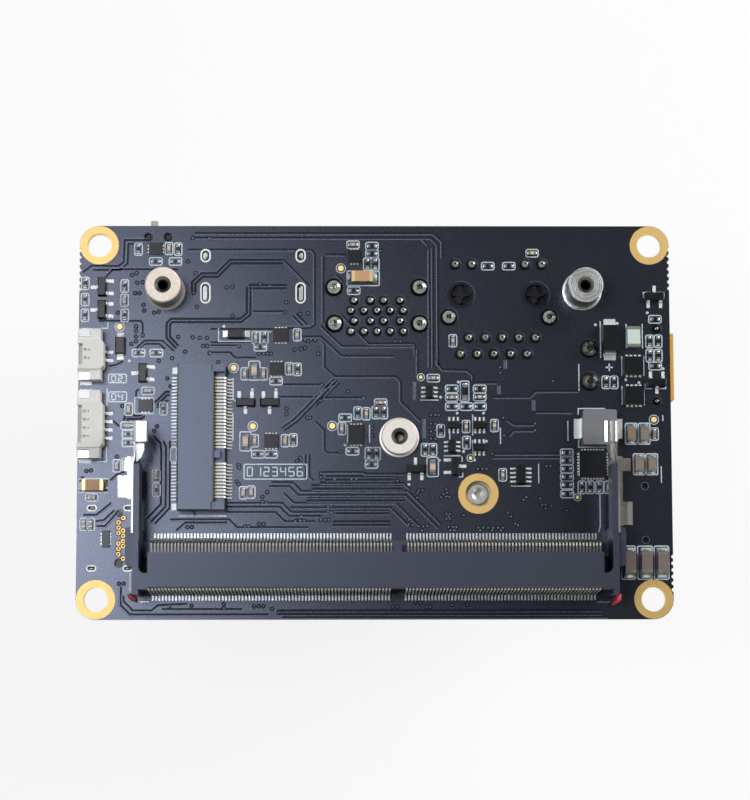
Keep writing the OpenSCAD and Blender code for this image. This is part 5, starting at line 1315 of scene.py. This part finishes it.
@dataclass
class ModuleSocket:
    """Details of the long module socket.

    Attributes:
        rib: thickness of the ribs between the contacts.
        rib_lean: how far their upper edges stand in.
        gap_max: width up to which a gap between two contacts has a rib.
        front: extent of the front comb along Y, and along Z.
        rear: extent of the rear comb along Y, and along Z from the board and down from the roof.
        dome: share of a blob's radius and height, from its foot to its top.
        uneven: how far its outline swings in and out.
    """

    rib: float = 0.2
    rib_lean: float = 0.02
    gap_max: float = 0.5
    front: tuple[Point, Point] = ((-21.5, -19.03), (5.4, 6.5))
    rear: tuple[Point, Point] = ((-25.85, -25.6), (1.0, 1.15))
    dome: tuple[Point, ...] = ((1.0, 0.0), (0.96, 0.35), (0.8, 0.7), (0.5, 0.95), (0.2, 1.05), (0.001, 1.08))
    uneven: float = 0.18

    def comb(self, draft: Draft, node: str, extent_y: Point, extent_z: Point) -> None:
        """Builds the ribs between the contacts of one row.

        Args:
            draft: piece that they become part of.
            node: the row's CAD node.
            extent_y: where they start and end along Y.
            extent_z: where they start and end along Z.
        """
        row = islands(node)
        for left, right in zip(row, row[1:]):
            if right.low[0] - left.high[0] < self.gap_max:
                x = (right.low[0] + left.high[0]) / 2
                low = (x - self.rib / 2, extent_y[0], extent_z[0])
                draft.block(low, (x + self.rib / 2, extent_y[1], extent_z[1]), self.rib_lean)

    def ribs(self) -> None:
        """Builds the combs of both rows."""
        draft = Draft("socket_ribs")
        _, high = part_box("module_socket_housing")
        extent_y, (foot, drop) = self.rear
        self.comb(draft, "module_socket_front_contacts", *self.front)
        self.comb(draft, "module_socket_rear_contacts", extent_y, (foot, high.z / MM - drop))
        draft.make(SOCKET_NYLON, "socket_nylon")

    def blob(self, name: str, centre: Point, size: Point, turn: float, seed: int) -> None:
        """Builds a small uneven blob of red varnish at a corner of the socket.

        Args:
            name: name of the piece.
            centre: its middle.
            size: its half length and half width.
            turn: its direction, in radians.
            seed: seed of its unevenness.
        """
        rng = random.Random(seed)
        draft = Draft(name)
        bumps = [1 + rng.uniform(-self.uneven, self.uneven) for _ in range(18)]
        rings = []
        for radius, height in self.dome:
            ring = []
            for (u, v), bump in zip(circle((0.0, 0.0), radius, len(bumps)), bumps):
                u, v = u * size[0] * bump, v * size[1] * bump
                x = centre[0] + u * math.cos(turn) - v * math.sin(turn)
                y = centre[1] + u * math.sin(turn) + v * math.cos(turn)
                ring.append((x, y, height))
            rings.append(ring)
        draft.tube(rings)
        draft.make(RED_VARNISH, "socket_nylon", smooth=True)

    def build(self) -> None:
        """Builds the details of the socket."""
        self.ribs()
        self.blob("varnish_left", (-36.4, -26.7), (0.9, 0.48), -0.65, 3)
        self.blob("varnish_right", (36.45, -27.1), (1.05, 0.55), 0.85, 5)


@dataclass(frozen=True)
class Bore:
    """Threaded bore of a standoff, in millimetres.

    Attributes:
        name: name of the standoff.
        centre: where its axis stands.
        radius: its radius.
        low: its lower end.
        high: its upper end, where the chamfer starts.
        mouth: radius of the chamfer's mouth, or nothing where it opens below.
    """

    name: str
    centre: Point
    radius: float
    low: float
    high: float
    mouth: float = 1.25


@dataclass
class Threads:
    """Threads and chamfers in the bores of the standoffs, both coloured dark as painted shade.

    Attributes:
        bores: the threaded bores.
        start: how far below the chamfer the thread starts.
        pitch: distance from crest to crest.
        depth: depth of the thread.
        chamfer: depth of the chamfer.
        skin: how far these skins stand off the wall of the bore, so that they hide it.
    """

    bores: tuple[Bore, ...] = (
        Bore("module_left", (-31.85, 19.9), 0.825, -1.0, 6.15),
        Bore("module_right", (31.65, 19.9), 0.825, -1.0, 6.15),
        Bore("card", (3.7, -2.55), 0.8, -1.0, 2.05),
        Bore("drive", (15.65, -11.05), 0.75, -4.1, -1.95, 0.0),
    )
    start: float = 0.05
    pitch: float = 0.4
    depth: float = 0.12
    chamfer: float = 0.45
    skin: float = 0.01

    def build(self) -> None:
        """Cuts every thread and chamfer."""
        for bore in self.bores:
            cut = Draft(f"thread_{bore.name}")
            rings = []
            z = bore.high - self.start
            while z - self.pitch > bore.low:
                rings += [(bore.radius - self.skin, z), (bore.radius - self.depth, z - self.pitch / 2)]
                z -= self.pitch
            cut.turned(bore.centre, rings, steps=24)
            cut.make(THREAD_PAINTED_SHADE, "turned_nickel")
            if bore.mouth:
                cone = Draft(f"chamfer_{bore.name}")
                top = (bore.mouth, bore.high + self.chamfer - self.skin / 2)
                end = (bore.radius - 2 * self.skin, bore.high - self.skin)
                cone.turned(bore.centre, [top, end], steps=32)
                cone.make(CHAMFER_PAINTED_SHADE, "turned_nickel", smooth=True)


@dataclass(frozen=True)
class Softbox:
    """Soft lamp that points at the middle of the board.

    Attributes:
        name: its name.
        place: where it hangs, in millimetres.
        size: its lengths along Y and, tilted down towards the board, along X, in millimetres.
        power: its power in watts.
        colour: sRGB colour of its light.
    """

    name: str
    place: Point3
    size: Point
    power: float
    colour: str = "#ffffff"


@dataclass
class Studio:
    """Plain pale floor, soft light and the camera.

    Attributes:
        eye: place of the camera, in millimetres.
        turn_deg: its turn about X, Y and Z.
        focal_px: its focal length in pixels of the picture.
        picture_px: width and height of the picture.
        sensor_mm: width of its sensor.
        clip_m: nearest and farthest distance that it shows, in metres.
        floor_z: height of the floor, in millimetres.
        outline: distance from the middle and height over the floor, in metres, of the floor's outline.
        white: share of the floor's colour that is light of its own.
        lamps: the lamps.
        world: strength of the light from all round.
    """

    eye: Point3 = (-4.36, -39.77, 374.98)
    turn_deg: Point3 = (6.539, -0.662, -0.082)
    focal_px: float = 2486.2
    picture_px: tuple[int, int] = (750, 800)
    sensor_mm: float = 36.0
    clip_m: Point = (0.01, 20.0)
    floor_z: float = -40.0
    outline: tuple[Point, ...] = (
        (0.00001, 0.0), (1.2, 0.0), (1.6, 0.08), (1.9, 0.3), (2.1, 0.7), (2.2, 1.3), (2.2, 3.2),
    )
    white: float = 0.86
    lamps: tuple[Softbox, ...] = (
        Softbox("key_softbox", (-165.0, 26.0, 375.0), (130.0, 240.0), 0.72, "#f6f8ff"),
        Softbox("fill_softbox", (330.0, 190.0, 260.0), (260.0, 260.0), 1.9),
    )
    world: float = 0.05

    def camera(self) -> None:
        """Sets the camera to the photograph's viewpoint."""
        lens = bpy.data.cameras.new("camera")
        lens.sensor_width = self.sensor_mm
        lens.lens = self.focal_px / max(self.picture_px) * self.sensor_mm
        lens.clip_start, lens.clip_end = self.clip_m
        camera = bpy.data.objects.new("camera", lens)
        camera.location = Vector(self.eye) * MM
        camera.rotation_euler = [math.radians(a) for a in self.turn_deg]
        bpy.context.scene.collection.objects.link(camera)
        bpy.context.scene.camera = camera

    def lamp(self, box: Softbox) -> None:
        """Hangs one lamp.

        Args:
            box: the lamp.
        """
        light = bpy.data.lights.new(box.name, "AREA")
        light.shape = "RECTANGLE"
        light.size, light.size_y = box.size[0] * MM, box.size[1] * MM
        light.energy = box.power
        light.color = linear(box.colour)[:3]
        lamp = bpy.data.objects.new(box.name, light)
        lamp.location = Vector(box.place) * MM
        lamp.rotation_euler = (-Vector(box.place)).to_track_quat("-Z", "Y").to_euler()
        bpy.context.scene.collection.objects.link(lamp)

    def floor(self) -> None:
        """Lays the floor, which curves up into a wall all round, white to the camera and in reflections.

        It can be seen through from behind, so that a view from below shows the underside of the object.
        """
        draft = Draft("floor")
        rings = [(r / MM, self.floor_z + h / MM) for r, h in self.outline]
        draft.turned((0.0, 0.0), rings, steps=48)
        draft.faces = [face[::-1] for face in draft.faces]
        floor = draft.place(self.paper(), smooth=True)

    def paper(self) -> bpy.types.Material:
        """Makes the floor's white paper, which keeps the object's faint shadow.

        Returns:
            The material.
        """
        paint = bpy.data.materials.new("floor_paper_white")
        paint.use_nodes = True
        tree = paint.node_tree
        tree.nodes.clear()
        ray = add_node(tree, "ShaderNodeLightPath").outputs
        seen = ray["Is Camera Ray"]
        either = {"operation": "ADD", "use_clamp": True}
        for kind in ("Is Glossy Ray", "Is Transmission Ray"):
            seen = add_node(tree, "ShaderNodeMath", either, {0: seen, 1: ray[kind]}).outputs["Value"]
        share = add_node(tree, "ShaderNodeMath", {"operation": "MULTIPLY", 1: self.white}, {0: seen})
        matte = add_node(tree, "ShaderNodeBsdfDiffuse", {"Color": linear("#f6f6f6")}).outputs["BSDF"]
        glow = {"Color": linear("#ffffff"), "Strength": 1.0}
        white = add_node(tree, "ShaderNodeEmission", glow).outputs["Emission"]
        lit = {0: share.outputs["Value"], 1: matte, 2: white}
        front = add_node(tree, "ShaderNodeMixShader", {}, lit).outputs["Shader"]
        clear = add_node(tree, "ShaderNodeBsdfTransparent").outputs["BSDF"]
        behind = add_node(tree, "ShaderNodeNewGeometry").outputs["Backfacing"]
        both = add_node(tree, "ShaderNodeMixShader", {}, {0: behind, 1: front, 2: clear})
        add_node(tree, "ShaderNodeOutputMaterial", {}, {"Surface": both.outputs["Shader"]})
        return paint

    def build(self) -> None:
        """Sets the camera, the floor, the lamps and the world."""
        self.camera()
        self.floor()
        for box in self.lamps:
            self.lamp(box)
        world = bpy.data.worlds.new("studio")
        bpy.context.scene.world = world
        world.use_nodes = True
        tree = world.node_tree
        tree.nodes.clear()
        sky = add_node(tree, "ShaderNodeBackground", {"Color": linear("#ffffff"), "Strength": self.world})
        add_node(tree, "ShaderNodeOutputWorld", {}, {"Surface": sky.outputs["Background"]})
        bpy.context.scene.view_settings.view_transform = "Standard"


def dress_nodes() -> None:
    """Gives every CAD node its finish."""
    for finish, names in NODES.items():
        for name in names:
            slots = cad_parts[name].data.materials
            slots.clear()
            slots.append(finish.material())
            log.info("%s: %s", name, finish.name)


def main() -> None:
    """Builds the scene in order."""
    logging.basicConfig(level=logging.INFO, format="%(message)s")
    Studio().build()
    dress_nodes()
    low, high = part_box("board")
    Copper().build(high.z / MM - low.z / MM)
    Legend().build()
    SolderWork().build()
    ModuleSocket().build()
    Threads().build()


if __name__ == "__main__":
    main()
